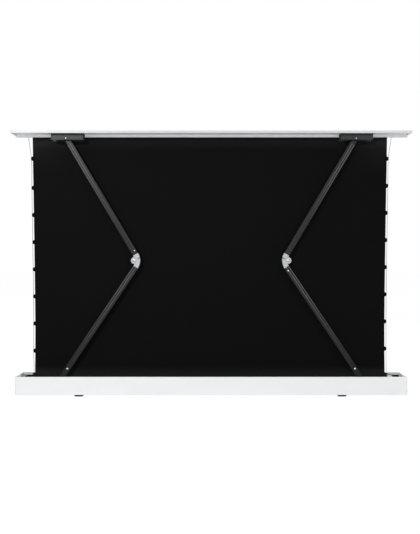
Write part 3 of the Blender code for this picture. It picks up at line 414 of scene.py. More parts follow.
class Value:
    """One output of a node. Sums and products with it add Math nodes."""

    def __init__(self, nodes, socket):
        self.nodes = nodes
        self.socket = socket

    def work(self, operation, *values):
        return self.nodes.add("Math", *values, settings={"operation": operation})

    def __add__(self, other):
        return self.work("ADD", self, other)

    def __sub__(self, other):
        return self.work("SUBTRACT", self, other)

    def __rsub__(self, other):
        return self.work("SUBTRACT", other, self)

    def __mul__(self, other):
        return self.work("MULTIPLY", self, other)

    def __gt__(self, other):
        return self.work("GREATER_THAN", self, other)

    def __lt__(self, other):
        return self.work("LESS_THAN", self, other)

    def __abs__(self):
        return self.work("ABSOLUTE", self)

    __radd__ = __add__
    __rmul__ = __mul__

    def wave(self, length):
        """From 0 to 1 and back once in each length."""
        return self.work("SINE", self * (2 * math.pi / length)) * 0.5 + 0.5

    def between(self, low, high):
        """0 below low, 1 above high."""
        ramp = {"data_type": "FLOAT", "clamp": True}
        return self.nodes.add("MapRange", self, low, high, 0.0, 1.0, settings=ramp)


class Nodes:
    """The nodes of a material or of the world. Every one is made by add."""

    def __init__(self, owner):
        owner.use_nodes = True
        self.tree = owner.node_tree
        self.tree.nodes.clear()

    def add(self, kind, *values, settings=None, output=0, **inputs):
        """A node of one type, with its settings and then the values or links of its sockets."""
        node = self.tree.nodes.new("ShaderNode" + kind)
        for name, value in (settings or {}).items():
            setattr(node, name, value)
        for socket, value in zip(node.inputs, values):
            self.feed(socket, value)
        sockets = {socket.identifier: socket for socket in node.inputs}
        for name, value in inputs.items():
            self.feed(sockets.get(name) or sockets[name.replace("_", " ")], value)
        return Value(self, node.outputs[output]) if node.outputs else node

    def feed(self, socket, value):
        if isinstance(value, Value):
            self.tree.links.new(value.socket, socket)
        elif isinstance(value, tuple) and len(value) < len(socket.default_value):
            socket.default_value = (*value, 1.0)
        else:
            socket.default_value = value


class Finish(Nodes):
    """A material under construction, its patterns laid out in metres along the solids' axes."""

    def __init__(self, name):
        self.material = bpy.data.materials.new(name)
        super().__init__(self.material)
        self.place = self.add("TexCoord", output="Object")

    def pattern(self, size, turn=0.0):
        """Places measured in a pattern's own size along each axis, turned about Y."""
        about = (0.0, turn, 0.0)
        settings = {"vector_type": "TEXTURE"}
        return self.add("Mapping", self.place, settings=settings, Rotation=about, Scale=size)

    def grain(self, size, detail=2.0, turn=0.0):
        """Noise whose spots are about as large as size."""
        where = self.pattern(size, turn)
        return self.add("TexNoise", Vector=where, Scale=1.0, Detail=detail, Roughness=0.55)

    def cells(self, size):
        where = self.pattern(size)
        return self.add("TexVoronoi", Vector=where, Scale=1.0)

    def along(self, axis):
        return self.add("SeparateXYZ", self.place, output=axis)

    def mix(self, share, first, second):
        """The first colour where share is 0, the second where it is 1."""
        inputs = {"Factor_Float": share, "A_Color": first, "B_Color": second}
        return self.add("Mix", settings={"data_type": "RGBA"}, output=2, **inputs)

    def surface(self, colour, roughness, relief=None, height=0.0001, **constants):
        """The finished surface, with relief as a bump of some height."""
        inputs = {"Base_Color": colour, "Roughness": roughness, **constants}
        if relief is not None:
            inputs["Normal"] = self.add("Bump", Strength=1.0, Distance=height, Height=relief)
        shader = self.add("BsdfPrincipled", **inputs)
        self.add("OutputMaterial", Surface=shader)
        return self.material


def white_enamel(name, dull, pale):
    """Satin powder coat: a faint orange peel, slightly uneven in tone."""
    finish = Finish(name)
    clouds = finish.grain((0.30, 0.12, 0.12))
    peel = finish.grain((0.0013, 0.0013, 0.0013))
    colour = finish.mix(clouds, dull, pale)
    return finish.surface(colour, clouds * 0.10 + 0.30, peel, 0.00006)


def bare_aluminium():
    """Mill finish, with rolling lines along the case."""
    finish = Finish("bare_aluminium")
    lines = finish.grain((0.12, 0.0007, 0.0007), 3.0)
    stains = finish.grain((0.06, 0.03, 0.03))
    colour = finish.mix(stains, (0.52, 0.53, 0.55), (0.68, 0.69, 0.70))
    return finish.surface(colour, lines * 0.18 + 0.30, lines, 0.00003, Metallic=1.0)


def black_anodised(name, turn, lips=None):
    """Satin anodising over extrusion lines down the arm, painted bright on the recess's lips: part
    wear, part painted highlight.
    """
    finish = Finish("black_anodised_" + name)
    lines = finish.grain((0.25, 0.0009, 0.0009), 3.0, turn)
    haze = finish.grain((0.09, 0.03, 0.03), 2.0, turn)
    colour = finish.mix(haze, (0.006, 0.006, 0.007), (0.012, 0.0115, 0.013))
    if lips is not None:
        # the lips' pale colour is part wear and part a painted highlight
        colour = finish.mix(lips(finish) * (haze * 0.4 + 0.6), colour, (0.21, 0.21, 0.215))
    roughness = lines * 0.12 + haze * 0.06 + 0.27
    return finish.surface(colour, roughness, lines, 0.00004, Specular_IOR_Level=0.22)


def grey_enamel():
    """Dark grey powder coat with a fine texture."""
    finish = Finish("grey_enamel")
    grit = finish.grain((0.0008, 0.0008, 0.0008), 3.0)
    clouds = finish.grain((0.08, 0.05, 0.05))
    colour = finish.mix(clouds, (0.015, 0.016, 0.0155), (0.025, 0.027, 0.026))
    return finish.surface(colour, grit * 0.12 + 0.34, grit, 0.00006, Specular_IOR_Level=0.24)


def cast_grey():
    """Silver paint over a die casting."""
    finish = Finish("cast_grey")
    skin = finish.grain((0.0022, 0.0022, 0.0022), 4.0)
    flakes = finish.cells((0.0006, 0.0006, 0.0006))
    colour = finish.mix(skin, (0.33, 0.34, 0.35), (0.45, 0.46, 0.47))
    return finish.surface(colour, flakes * 0.12 + 0.36, skin, 0.00018, Metallic=0.25)


def zinc():
    """Bright plating with a faint spangle."""
    finish = Finish("zinc")
    spangle = finish.cells((0.0018, 0.0018, 0.0018))
    marks = finish.grain((0.004, 0.0005, 0.004))
    colour = finish.mix(spangle, (0.70, 0.70, 0.68), (0.84, 0.84, 0.84))
    return finish.surface(colour, marks * 0.14 + 0.18, marks, 0.00002, Metallic=1.0)


def plating(name, tone):
    """Plating passivated to a tone."""
    finish = Finish(name)
    haze = finish.grain((0.003, 0.003, 0.003), 3.0)
    colour = finish.mix(haze, (tone, tone, tone), (tone * 1.5, tone * 1.5, tone * 1.45))
    return finish.surface(colour, haze * 0.12 + 0.34, haze, 0.00002, Metallic=0.85)


def shade_felt():
    """Black felt with a short nap, a dark sheet that paints the shade inside the case."""
    finish = Finish("black_felt_painted_shade")
    nap = finish.grain((0.0009, 0.0009, 0.0009), 4.0)
    colour = finish.mix(nap, (0.009, 0.009, 0.009), (0.020, 0.020, 0.020))
    return finish.surface(colour, 0.95, nap, 0.0003, Specular_IOR_Level=0.1)


def dark_rubber():
    """Matt rubber, dusty in places."""
    finish = Finish("dark_rubber")
    grit = finish.grain((0.0010, 0.0010, 0.0010), 3.0)
    dust = finish.grain((0.03, 0.02, 0.02), 3.0)
    colour = finish.mix(dust, (0.022, 0.022, 0.022), (0.050, 0.049, 0.047))
    return finish.surface(colour, grit * 0.1 + 0.78, grit, 0.00010)


def black_plastic():
    """Moulded plastic with a spark-eroded grain."""
    finish = Finish("black_plastic")
    grain = finish.cells((0.0007, 0.0007, 0.0007))
    haze = finish.grain((0.02, 0.02, 0.02))
    colour = finish.mix(haze, (0.016, 0.016, 0.017), (0.028, 0.028, 0.029))
    return finish.surface(colour, haze * 0.1 + 0.38, grain, 0.00006)


def tinted_lens():
    """Dark red plastic under a gloss, which lets infrared through."""
    finish = Finish("tinted_lens")
    depth = finish.grain((0.01, 0.01, 0.004))
    colour = finish.mix(depth, (0.020, 0.005, 0.008), (0.034, 0.008, 0.012))
    return finish.surface(colour, depth * 0.04 + 0.06, Coat_Weight=1.0)


def motor_casing():
    """Grey passivated steel tube."""
    finish = Finish("motor_casing")
    lines = finish.grain((0.05, 0.001, 0.001), 3.0)
    colour = finish.mix(lines, (0.32, 0.33, 0.34), (0.42, 0.43, 0.44))
    return finish.surface(colour, lines * 0.14 + 0.28, lines, 0.00002, Metallic=0.9)


def dark_steel():
    """Bare steel with drawing lines."""
    finish = Finish("dark_steel")
    lines = finish.grain((0.08, 0.0006, 0.0006), 3.0)
    colour = finish.mix(lines, (0.26, 0.27, 0.28), (0.40, 0.41, 0.42))
    return finish.surface(colour, lines * 0.2 + 0.3, lines, 0.00002, Metallic=1.0)


def white_nylon():
    """Natural nylon, a little yellow."""
    finish = Finish("white_nylon")
    haze = finish.grain((0.006, 0.006, 0.006))
    colour = finish.mix(haze, (0.72, 0.71, 0.67), (0.80, 0.79, 0.75))
    return finish.surface(colour, haze * 0.1 + 0.42)


def weave(finish, pitch):
    """The relief of a fine woven base under a coating."""
    across = finish.along("X").wave(pitch)
    up = finish.along("Z").wave(pitch)
    return across * (1 - up) + up * (1 - across)


def black_back_with_painted_sheen():
    """The coated black back of the fabric, with a painted sheen near the lid and at the case."""
    finish = Finish("fabric_back_painted_sheen")
    cloth = weave(finish, 0.0011)
    clouds = finish.grain((0.22, 0.22, 0.30), 3.0)
    colour = finish.mix(clouds, (0.0022, 0.0022, 0.0022), (0.0034, 0.0034, 0.0035))
    height = finish.along("Z")
    beside = abs(finish.along("X") - sheet_middle.x).between(*PAINTED_SHEEN_BESIDE)
    sheen_below_lid = height.between(sheet_high.z - PAINTED_SHEEN_BELOW_LID, sheet_high.z) * 0.7
    sheen_beside_lid = height.between(sheet_high.z - PAINTED_SHEEN_BESIDE_LID, sheet_high.z) * beside * 0.4
    ends = sheen_below_lid + sheen_beside_lid + (1 - height.between(*PAINTED_SHEEN_AT_CASE))
    # painted sheen: the back is painted paler where light off the lid's underside and the case
    # would shine on it
    colour = finish.mix(ends * (beside * 0.8 + 0.9), colour, (0.012, 0.012, 0.012))
    return finish.surface(colour, clouds * 0.1 + 0.56, cloth, 0.00003, Specular_IOR_Level=0.03)


def view_face():
    """The viewing side: a pale matt coat inside a black border."""
    finish = Finish("fabric_front")
    cloth = weave(finish, 0.0009)
    clouds = finish.grain((0.35, 0.35, 0.35))
    pale = finish.mix(clouds, (0.74, 0.74, 0.75), (0.78, 0.78, 0.79))
    height = finish.along("Z")
    across = abs(finish.along("X") - sheet_middle.x)
    inside = (across < VIEW_HALF_WIDTH) * (height > VIEW_BOTTOM) * (height < VIEW_TOP)
    colour = finish.mix(inside, (0.007, 0.007, 0.007), pale)
    return finish.surface(colour, 0.72, cloth, 0.00002, Specular_IOR_Level=0.25)


def black_tape():
    """Coated tape with the dimples of its weld."""
    finish = Finish("black_tape")
    dimples = weave(finish, 0.0024)
    colour = finish.mix(dimples, (0.0015, 0.0015, 0.0015), (0.0035, 0.0035, 0.0035))
    return finish.surface(colour, 0.60 + dimples * 0.1, dimples, 0.00005, Specular_IOR_Level=0.04)


def grey_cord():
    """Braid: strands that cross as they run down the cord."""
    finish = Finish("grey_cord")
    height = finish.along("Z")
    round_it = finish.along("Y") + finish.along("X") * 0.7
    braid = (height + round_it).wave(0.0016) * (height - round_it).wave(0.0016)
    colour = finish.mix(braid, (0.035, 0.035, 0.035), (0.075, 0.075, 0.075))
    return finish.surface(colour, 0.62 + braid * 0.1, braid, 0.00012)


FINISHES = {
    "white_enamel": white_enamel("case_enamel", (0.80, 0.81, 0.82), (0.86, 0.865, 0.87)),
    "bare_aluminium": bare_aluminium(),
    "grey_enamel": grey_enamel(),
    "black_anodised": black_anodised("fittings", 0.0),
    "cast_grey": cast_grey(),
    "zinc": zinc(),
    "dark_rubber": dark_rubber(),
    "black_plastic": black_plastic(),
    "tinted_lens": tinted_lens(),
    "motor_casing": motor_casing(),
    "dark_steel": dark_steel(),
    "black_tape": black_tape(),
    "grey_cord": grey_cord(),
    "screen_cloth": black_back_with_painted_sheen(),
}
# The lid's greyer outside coat: painted shade, against the paler underside that stands for light
# from below
LID_PAINTED_SHADE = white_enamel("lid_enamel_painted_shade", (0.55, 0.56, 0.58), (0.60, 0.61, 0.63))
DULL_ZINC = plating("dull_zinc", 0.12)
DARK_ZINC = plating("dark_zinc", 0.05)
SATIN_ZINC = plating("satin_zinc", 0.36)

# How far the edges of each copied solid are rounded, and in how many steps
EDGES = {
    "floor_plate": (0.0004, 2),
    "rear_panel": (0.0010, 3),
    "front_panel": (0.0010, 3),
    "end_cap": (0.0016, 3),
    "seal_strip": (0.0010, 3),
    "foot": (0.0018, 3),
    "foot_pad": (0.0008, 2),
    "shoulder_bracket": (0.0006, 2),
    "roller_bracket": (0.0006, 2),
    "tubular_motor": (0.0005, 2),
    "roller_tube": (0.0003, 2),
    "idle_plug": (0.0004, 2),
    "idle_pin": (0.0005, 2),
    "control_box": (0.0020, 3),
    "power_inlet": (0.0006, 2),
    "power_rocker": (0.0006, 2),
    "infrared_window": (0.0004, 2),
    "lower_knuckle": (0.0016, 3),
    "upper_knuckle": (0.0016, 3),
    "shoulder_fitting": (0.0010, 3),
    "top_fitting": (0.0010, 3),
    "top_cover": (0.0012, 3),
    "cover_cap": (0.0012, 3),
    "fabric_rail": (0.0005, 2),
}
ARM_EDGE = 0.0006
HIDDEN = ("drive_wheel", "hem_rod", "lift_spring")
UNDERSIDE = -0.7


def coat_lid_with_painted_light(item):
    """The lid's outside gets a greyer coat than its underside: painted shade outside, and the
    underside left paler as painted light from below.
    """
    item.data.materials.append(LID_PAINTED_SHADE)
    for face in item.data.polygons:
        face.material_index = 0 if face.normal.z < UNDERSIDE else 1


def dress_solids():
    """The solids whose shape is right, copied with rounded edges. Hidden ones get a finish only."""
    for name, (width, segments) in EDGES.items():
        for node in both_sides(name):
            item = round_edges(copied(node, node + "_finished"), width, segments)
            finish = DULL_ZINC if name == "roller_bracket" else None
            wear(item, SLOTS[node], body_of(node), node, finish=finish)
            # painted light: a greyer outside and a paler underside on the lid
            if name in ("top_cover", "cover_cap"):
                coat_lid_with_painted_light(item)
    for name in HIDDEN:
        for node in both_sides(name):
            slot = frame["nodes"][node].material_slots[0]
            slot.link = "OBJECT"
            slot.material = FINISHES[SLOTS[node]]


def arm_frame(level, side):
    """An arm's elbow, its direction away from the elbow, and the direction towards the middle."""
    sign = SIDES[side]
    lean = ARM_LEAN[level]
    rise = 1 if level == "upper" else -1
    elbow = span("elbow_pin_" + side)[2]
    outward = Vector((sign * math.sin(lean), 0, rise * math.cos(lean)))
    across = Vector((-sign * math.cos(lean), 0, rise * math.sin(lean)))
    return elbow, outward, across


def lips_worn_and_highlighted(level, side):
    """Makes the mask of an arm's bright lips, part wear and part painted highlight: an upper arm's
    are bright near the lid, a lower arm's near the elbow."""
    elbow, outward, across = arm_frame(level, side)
    axis = ARM_OFFSET[level] + elbow.dot(across)
    start = elbow.dot(outward)

    def lips(finish):
        x, z = finish.along("X"), finish.along("Z")
        beside = axis - (x * across.x + z * across.z)
        down = x * outward.x + z * outward.z - start
        near = abs(beside - LIP_INNER).between(LIP_WIDTH / 4, LIP_WIDTH)
        far = abs(beside - LIP_OUTER).between(LIP_WIDTH / 4, LIP_WIDTH)
        towards_end = down.between(*LIP_WEAR_AND_HIGHLIGHT[level])
        return (1 - near * far) * (towards_end if level == "upper" else 1 - towards_end)

    return lips


def dress_arms():
    """The recessed profiles, each with extrusion lines along its own lean."""
    for side in SIDES:
        for level in ("lower", "upper"):
            node = f"{level}_arm_{side}"
            low, high, _ = span(node)
            lean = math.pi / 2 - math.atan2(high.x - low.x, high.z - low.z)
            if (side == "left") == (level == "lower"):
                lean = -lean
            item = round_edges(copied(node, node + "_finished"), ARM_EDGE)
            finish = black_anodised(node, lean, lips_worn_and_highlighted(level, side))
            wear(item, SLOTS[node], node, node, finish=finish)


def screw_head(name, radius, height, outline):
    """A turned screw head, from its outline in shares of height and radius."""
    steps = [(height * up, radius * out) for up, out in outline]
    return turned(name, steps, SMALL_SIDES)


def socket_screw(radius):
    """A button head with a hexagon socket, made along Z on the face that it clamps."""
    height, wide = radius * 0.56, radius * 0.36
    head = screw_head("socket_screw", radius, height, BUTTON_HEAD)
    carve(head, turned("socket", [(height * 0.35, wide), (height * 1.2, wide)], HEXAGON))
    return smooth(head)


def cross_screw(radius):
    """A pan head with a cross recess."""
    height = radius * 0.62
    head = screw_head("cross_screw", radius, height, PAN_HEAD)
    long, thin, floor = radius * 0.52, radius * 0.11, height * 0.45
    carve(
        head,
        block("slot", (-long, -thin, floor), (long, thin, radius)),
        block("slot", (-thin, -long, floor), (thin, long, radius)),
    )
    return smooth(head)


def ring(name, outer, inner, height, edge):
    """A flat ring about Z."""
    item = turned(name, [(0, outer), (height, outer)])
    carve(item, turned("hole", [(-height, inner), (2 * height, inner)]))
    return round_edges(item, edge)


def scatter(item, name, body, direction, places):
    """Copies of one zinc screw at several places, each turned a little differently."""
    for number, place in enumerate(places, 1):
        twin = copy_at(item, f"{name}_{number}", aim(place, direction, SCREW_TURN * number))
        wear(twin, "zinc", body)
    bpy.data.objects.remove(item)


def drawn_in(low, high, inset):
    """The two ends of a length, moved towards its middle."""
    return low + inset, high - inset


def fasten_case(side, sign):
    """Screws of one end cap and the brackets beside it."""
    low, high, _ = span("end_cap_" + side)
    face = high.x if sign > 0 else low.x
    rows = drawn_in(low.z, high.z, END_CAP_INSET)
    places = [(face, y, z) for y in drawn_in(low.y, high.y, END_CAP_INSET) for z in rows]
    scatter(cross_screw(END_CAP_SCREW), "end_cap_screw_" + side, "case", (sign, 0, 0), places)

    low, high, middle = span("shoulder_bracket_" + side)
    top = low.z + BRACKET_FOOT
    rows = drawn_in(low.y, high.y, SHOULDER_SCREW_INSET)
    places = [(middle.x + dx, y, top) for dx in SHOULDER_SCREWS_ALONG for y in rows]
    scatter(socket_screw(BRACKET_SCREW), "shoulder_screw_" + side, "case", (0, 0, 1), places)

    low, high, middle = span("roller_bracket_" + side)
    foot = (high.x if sign < 0 else low.x) + sign * ROLLER_SCREWS_OUT
    top = low.z + BRACKET_FOOT
    places = [(foot, middle.y + dy, top) for dy in ROLLER_SCREWS_ACROSS]
    scatter(socket_screw(BRACKET_SCREW), "roller_bracket_screw_" + side, "case", (0, 0, 1), places)


def fasten_lid(side, sign):
    """Screws of one of the lid's brackets, where they clear its ends, and of the end beside it."""
    low, high, middle = span("lid_bracket_" + side)
    web = high.z - LID_BRACKET_WALL
    pin = span("top_pin_" + side)[2].x
    places = [(pin + dx, middle.y, web) for dx in LID_SCREWS_ALONG]
    places = [place for place in places if low.x < place[0] < high.x]
    scatter(socket_screw(BRACKET_SCREW), "lid_bracket_screw_" + side, "lid", (0, 0, -1), places)

    low, high, middle = span("cover_cap_" + side)
    x = middle.x - sign * COVER_SCREW_INSET
    places = [
        (x, low.y + COVER_SCREW_REAR_INSET, low.z),
        (x, COVER_SCREW_FRONT, low.z + COVER_SCREW_FRONT_RISE),
    ]
    scatter(cross_screw(COVER_SCREW), "cover_cap_screw_" + side, "lid", (0, 0, -1), places)


def fasten():
    """All the screws that the solids leave out, apart from those on the arms."""
    for side, sign in SIDES.items():
        fasten_case(side, sign)
        fasten_lid(side, sign)
    low, high, _ = span("control_box")
    rows = drawn_in(low.y, high.y, CONTROL_SCREW_INSET)
    places = [(x, y, high.z) for x in drawn_in(low.x, high.x, CONTROL_SCREW_INSET) for y in rows]
    scatter(cross_screw(CONTROL_SCREW), "control_box_screw", "case", (0, 0, 1), places)


def turned_pin(name, half):
    """A pin about Z, with a head at each end that has a domed rim."""
    head = [
        (half - PIN_BEVEL * inward, PIN_HEAD_RADIUS - PIN_BEVEL * drop)
        for inward, drop in PIN_DOME
    ]
    neck = half - PIN_HEAD
    head += [(neck, PIN_HEAD_RADIUS), (neck, PIN_RADIUS)]
    return turned(name, [(-z, radius) for z, radius in head] + head[::-1])


def dress_pins():
    """The pivot pins: satin with a hexagon socket, or at the lid dark with a bright shaft end."""
    for group in ("shoulder_pin", "elbow_pin", "top_pin"):
        for side in SIDES:
            node = f"{group}_{side}"
            low, high, middle = span(node)
            half = (high.y - low.y) / 2
            item = turned_pin(node + "_turned", half)
            if group == "top_pin":
                finish = DARK_ZINC
                end = turned(node + "_end", SHAFT_END, SMALL_SIDES)
                settle(end, aim((middle.x, low.y + SUNK, middle.z), (0, -1, 0)))
                wear(end, "zinc", body_of(node))
            else:
                finish = SATIN_ZINC
                depths = (-half - PIN_HEAD, -half + PIN_HEAD * PIN_SOCKET_DEPTH)
                carve(item, turned("socket", [(z, PIN_SOCKET) for z in depths], HEXAGON))
            settle(item, aim(middle, (0, 1, 0)))
            wear(smooth(item), "zinc", body_of(node), node, finish=finish)


def dress_elbows():
    """A raised ring round each head of the elbow pins, and the washers of the shoulder pins."""
    washer_finish = white_nylon()
    for side in SIDES:
        elbow = span("elbow_pin_" + side)[2]
        for name, end in FACES.items():
            item = ring(f"elbow_ring_{side}_{name}", **ELBOW_RING)
            face = elbow + Vector((0, end * ELBOW_FACE, 0))
            settle(item, aim(face - Vector((0, end * SUNK, 0)), (0, end, 0)))
            wear(item, "cast_grey", "lower_arm_" + side)
        shoulder = span("shoulder_pin_" + side)[2]
        for name, end in FACES.items():
            item = ring(f"shoulder_washer_{side}_{name}", **SHOULDER_WASHER)
            settle(item, aim(shoulder + Vector((0, end * SHOULDER_FACE, 0)), (0, end, 0)))
            wear(item, "black_plastic", "case", finish=washer_finish)


SHEET_EDGE = sorted({
    (round(v.co.z, 6), round(v.co.x - sheet_middle.x, 6))
    for v in frame["nodes"]["screen_fabric"].data.vertices
    if v.co.x > 0
})


def sheet_half(height):
    """Half the fabric's width at a height, read from its solid."""
    for (z, x), (z_next, x_next) in zip(SHEET_EDGE, SHEET_EDGE[1:]):
        if z <= height <= z_next:
            return x + (x_next - x) * (height - z) / (z_next - z)
    return SHEET_EDGE[0][1] if height < SHEET_EDGE[0][0] else SHEET_EDGE[-1][1]


def ripple(across, z):
    """How far the fabric stands out at a place: scalloped by the pull of its tabs."""
    from_edge = sheet_half(z) - abs(across)
    fade = math.exp(-from_edge / RIPPLE_REACH)
    first = TAB_TOP - LEFT_TAB_DROP if across < 0 else TAB_TOP
    return RIPPLE * fade * math.cos(2 * math.pi * (z - first) / TAB_SPACING)


def hang_sheet():
    """The fabric: a grid drawn to the solid's outline, black behind and pale in front."""
    height = sheet_high.z - sheet_low.z
    levels = [sheet_low.z + height * k / SHEET_ROWS for k in range(SHEET_ROWS + 1)]
    levels = sorted(levels + [SHOULDER_TOP, SHOULDER_TOP - SHOULDER_DROP])
    rows = len(levels) - 1
    only_none()
    bpy.ops.mesh.primitive_grid_add(x_subdivisions=SHEET_COLUMNS, y_subdivisions=rows, size=2)
    item = named("screen_sheet")
    for vertex in item.data.vertices:
        z = levels[round(rows * (vertex.co.y + 1) / 2)]
        across = vertex.co.x * sheet_half(z)
        vertex.co = (sheet_middle.x + across, sheet_middle.y + ripple(across, z), z)
    change(item, "SOLIDIFY", thickness=SHEET_THICKNESS, offset=0.0)
    edit_all(item)
    bpy.ops.mesh.normals_make_consistent(inside=False)
    close()
    wear(smooth(item), "screen_cloth", "case", "screen_fabric")
    item.data.materials.append(view_face())
    for face in item.data.polygons:
        face.material_index = 1 if face.normal.y > 0.5 else 0
    return item


def fold_down(item):
    """Gives the piece its own mesh; nothing flattens it."""
    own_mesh(item)


def tab_heights(side):
    """The tabs from the top down: on the left, all but the first stand a little lower."""
    drop = LEFT_TAB_DROP if side == "left" else 0
    return [TAB_TOP] + [TAB_TOP - TAB_SPACING * k - drop for k in range(1, TAB_COUNT)]


def tape(side, sign):
    """The welded tape behind one edge of the fabric."""
    only_none()
    bpy.ops.mesh.primitive_grid_add(x_subdivisions=2, y_subdivisions=TAPE_ROWS, size=2)
    item = named("edge_band_" + side)
    low = tab_heights(side)[-1] - TAB_HEIGHT
    high = TAB_TOP + TAB_HEIGHT
    back = sheet_middle.y - SHEET_THICKNESS / 2 - TAPE_THICKNESS / 2
    for vertex in item.data.vertices:
        z = low + (high - low) * (vertex.co.y + 1) / 2
        across = sign * (sheet_half(z) - TAPE_WIDTH * (1 - vertex.co.x) / 2 + TAPE_OVERHANG)
        vertex.co = (sheet_middle.x + across, back + ripple(across, z), z)
    change(item, "SOLIDIFY", thickness=TAPE_THICKNESS, offset=0.0)
    return round_edges(item, TAPE_THICKNESS / 4)


def tab():
    """One half-round tab in the XZ plane, its straight side on X = 0, with the cord's sleeve."""
    only_none()
    bpy.ops.mesh.primitive_circle_add(vertices=ROUND_SIDES, radius=TAB_REACH, fill_type="NGON")
    taller = Matrix.Diagonal((1, TAB_HEIGHT / 2 / TAB_REACH, 1, 1))
    plate = settle(named("tab"), Matrix.Rotation(math.pi / 2, 4, "X") @ taller)
    edit_all(plate)
    cut = {"plane_co": (-TAPE_WIDTH / 2, 0, 0), "plane_no": (1, 0, 0)}
    bpy.ops.mesh.bisect(**cut, clear_inner=True, use_fill=False)
    close()
    change(plate, "SOLIDIFY", thickness=TAB_THICKNESS, offset=0.0)
    round_edges(plate, TAB_THICKNESS / 4)
    ends = (-SLEEVE_LENGTH / 2, SLEEVE_LENGTH / 2)
    sleeve = turned("sleeve", [(z, SLEEVE_RADIUS) for z in ends], SLEEVE_SIDES)
    ends = (-SLEEVE_LENGTH, SLEEVE_LENGTH)
    carve(sleeve, turned("bore", [(z, SLEEVE_BORE) for z in ends], SLEEVE_SIDES))
    front = TAB_THICKNESS / 2 + CORD_RADIUS + CORD_PLAY
    sleeve.data.transform(Matrix.Translation((TAB_REACH - CORD_INSET, front, 0)))
    only(smooth(sleeve), plate)
    bpy.ops.object.join()
    return named("tab")


def edge_pieces(side, sign, pattern):
    """The tape and the tabs along one edge of the fabric."""
    pieces = [wear(tape(side, sign), "black_tape", "case", "edge_tape_" + side)]
    back = sheet_middle.y - CORD_RADIUS - CORD_PLAY - TAB_THICKNESS / 2
    turn = Matrix.Identity(4) if sign > 0 else Matrix.Rotation(math.pi, 4, "Y")
    for number, z in enumerate(tab_heights(side), 1):
        place = Matrix.Translation((sheet_middle.x + sign * sheet_half(z), back, z))
        twin = copy_at(pattern, f"tab_{side}_{number}", place @ turn)
        pieces.append(wear(twin, "black_tape", "case"))
    for piece in pieces:
        fold_down(piece)
    return pieces


def cord_through(name, route, radius):
    """A round cord through a route's points, eased where it bends."""
    curve = bpy.data.curves.new(name, "CURVE")
    curve.dimensions = "3D"
    curve.bevel_depth = radius
    curve.bevel_resolution = 3
    curve.resolution_u = 8
    curve.use_fill_caps = True
    line = curve.splines.new("BEZIER")
    line.bezier_points.add(len(route) - 1)
    for point, place in zip(line.bezier_points, route):
        point.co = place
        point.handle_left_type = point.handle_right_type = "AUTO"
    item = added(name, curve)
    only(item)
    bpy.ops.object.convert(target="MESH")
    return smooth(item)


def string_cord(side, sign):
    """The tension cord from the rail through its sleeves to the lower corner, and its ferrule."""
    rail = span("fabric_rail")[0].z
    route = [(CORD_TOP_REACH, rail + CORD_IN_RAIL)]
    route += [(sheet_half(z) + TAB_REACH - CORD_INSET, z) for z in tab_heights(side)]
    route.append((sheet_half(SHOULDER_TOP) + CORD_BOTTOM_GAP[side], CORD_BOTTOM))
    route = [(sheet_middle.x + sign * across, sheet_middle.y, z) for across, z in route]
    cord = cord_through("cord_" + side, route, CORD_RADIUS)
    wear(cord, "grey_cord", "case", "tension_cord_" + side)
    fold_down(cord)
    ferrule = turned("cord_ferrule_" + side, FERRULE, SMALL_SIDES)
    top = (sheet_middle.x + sign * CORD_TOP_REACH, sheet_middle.y, rail)
    settle(ferrule, aim(top, (0, 0, -1)))
    wear(smooth(ferrule), "zinc", "lid")


def hang_edges(sheet):
    """Tape, tabs and tension cord at each edge of the fabric; the sheet's area and flat size are
    worked out, and not kept.
    """
    pattern = tab()
    on_sheet = []
    for side, sign in SIDES.items():
        on_sheet += edge_pieces(side, sign, pattern)
        string_cord(side, sign)
    bpy.data.objects.remove(pattern)
    height = sheet_high.z - sheet_low.z
    levels = [sheet_low.z + height * k / WIDTH_STEPS for k in range(WIDTH_STEPS + 1)]
    area = 2 * sum(sheet_half(z) for z in levels) / len(levels) * height
    flat = (2 * sheet_half(sheet_high.z), height)
    fold_down(sheet)


def wind_cloth():
    """The turns of fabric left on the roller, as one spiral."""
    low, high, middle = span("wound_fabric")
    thickness = (high.z - low.z) / 2 - WOUND_INNER - SHEET_THICKNESS / 3
    item = added("wound_cloth", bpy.data.meshes.new("wound_cloth"))
    shape = bmesh.new()
    rows = []
    for k in range(WOUND_TURNS * WOUND_STEPS + 1):
        angle = 2 * math.pi * k / WOUND_STEPS
        radius = WOUND_INNER + thickness * k / (WOUND_TURNS * WOUND_STEPS)
        y = middle.y - radius * math.cos(angle)
        z = middle.z + radius * math.sin(angle)
        rows.append((shape.verts.new((low.x, y, z)), shape.verts.new((high.x, y, z))))
    for near, far in zip(rows, rows[1:]):
        shape.faces.new((near[0], near[1], far[1], far[0]))
    shape.to_mesh(item.data)
    shape.free()
    change(item, "SOLIDIFY", thickness=WOUND_THICKNESS, offset=0.0)
    wear(smooth(item), "screen_cloth", "roller", "wound_fabric")


def round_fold(item, top, middle, reach, fold):
    """Rounds a bracket's two long edges at a height, a reach to each side of its middle."""
    width, segments = fold

    def runs_along(edge):
        a, b = (v.co for v in edge.verts)
        level = abs(a.z - top) < NEAR and abs(b.z - top) < NEAR
        outside = abs(abs(a.y - middle.y) - reach) < NEAR
        return level and outside and abs(a.x - b.x) > LONG_EDGE

    edit_edges(item, runs_along)
    bpy.ops.mesh.bevel(offset=width, segments=segments, affect="EDGES")
    close()


def bend_brackets():
    """The lid's brackets as bent sheet: wide rounds outside the folds, tight ones inside."""
    for node in both_sides("lid_bracket"):
        low, high, middle = span(node)
        half = (high.y - low.y) / 2
        wall = LID_BRACKET_WALL
        item = copied(node, node + "_finished")
        round_fold(item, high.z, middle, half, OUTER_FOLD)
        round_fold(item, high.z - wall, middle, half - wall, INNER_FOLD)
        round_edges(item, BRACKET_EDGE)
        wear(item, "grey_enamel", "lid", node)


def smooth_leads():
    """The two leads inside the case, with their facets rounded off."""
    for node in ("motor_lead", "receiver_lead"):
        item = change(copied(node, node + "_sheath"), "SUBSURF", levels=1, render_levels=1)
        wear(smooth(item), "dark_rubber", "case", node)


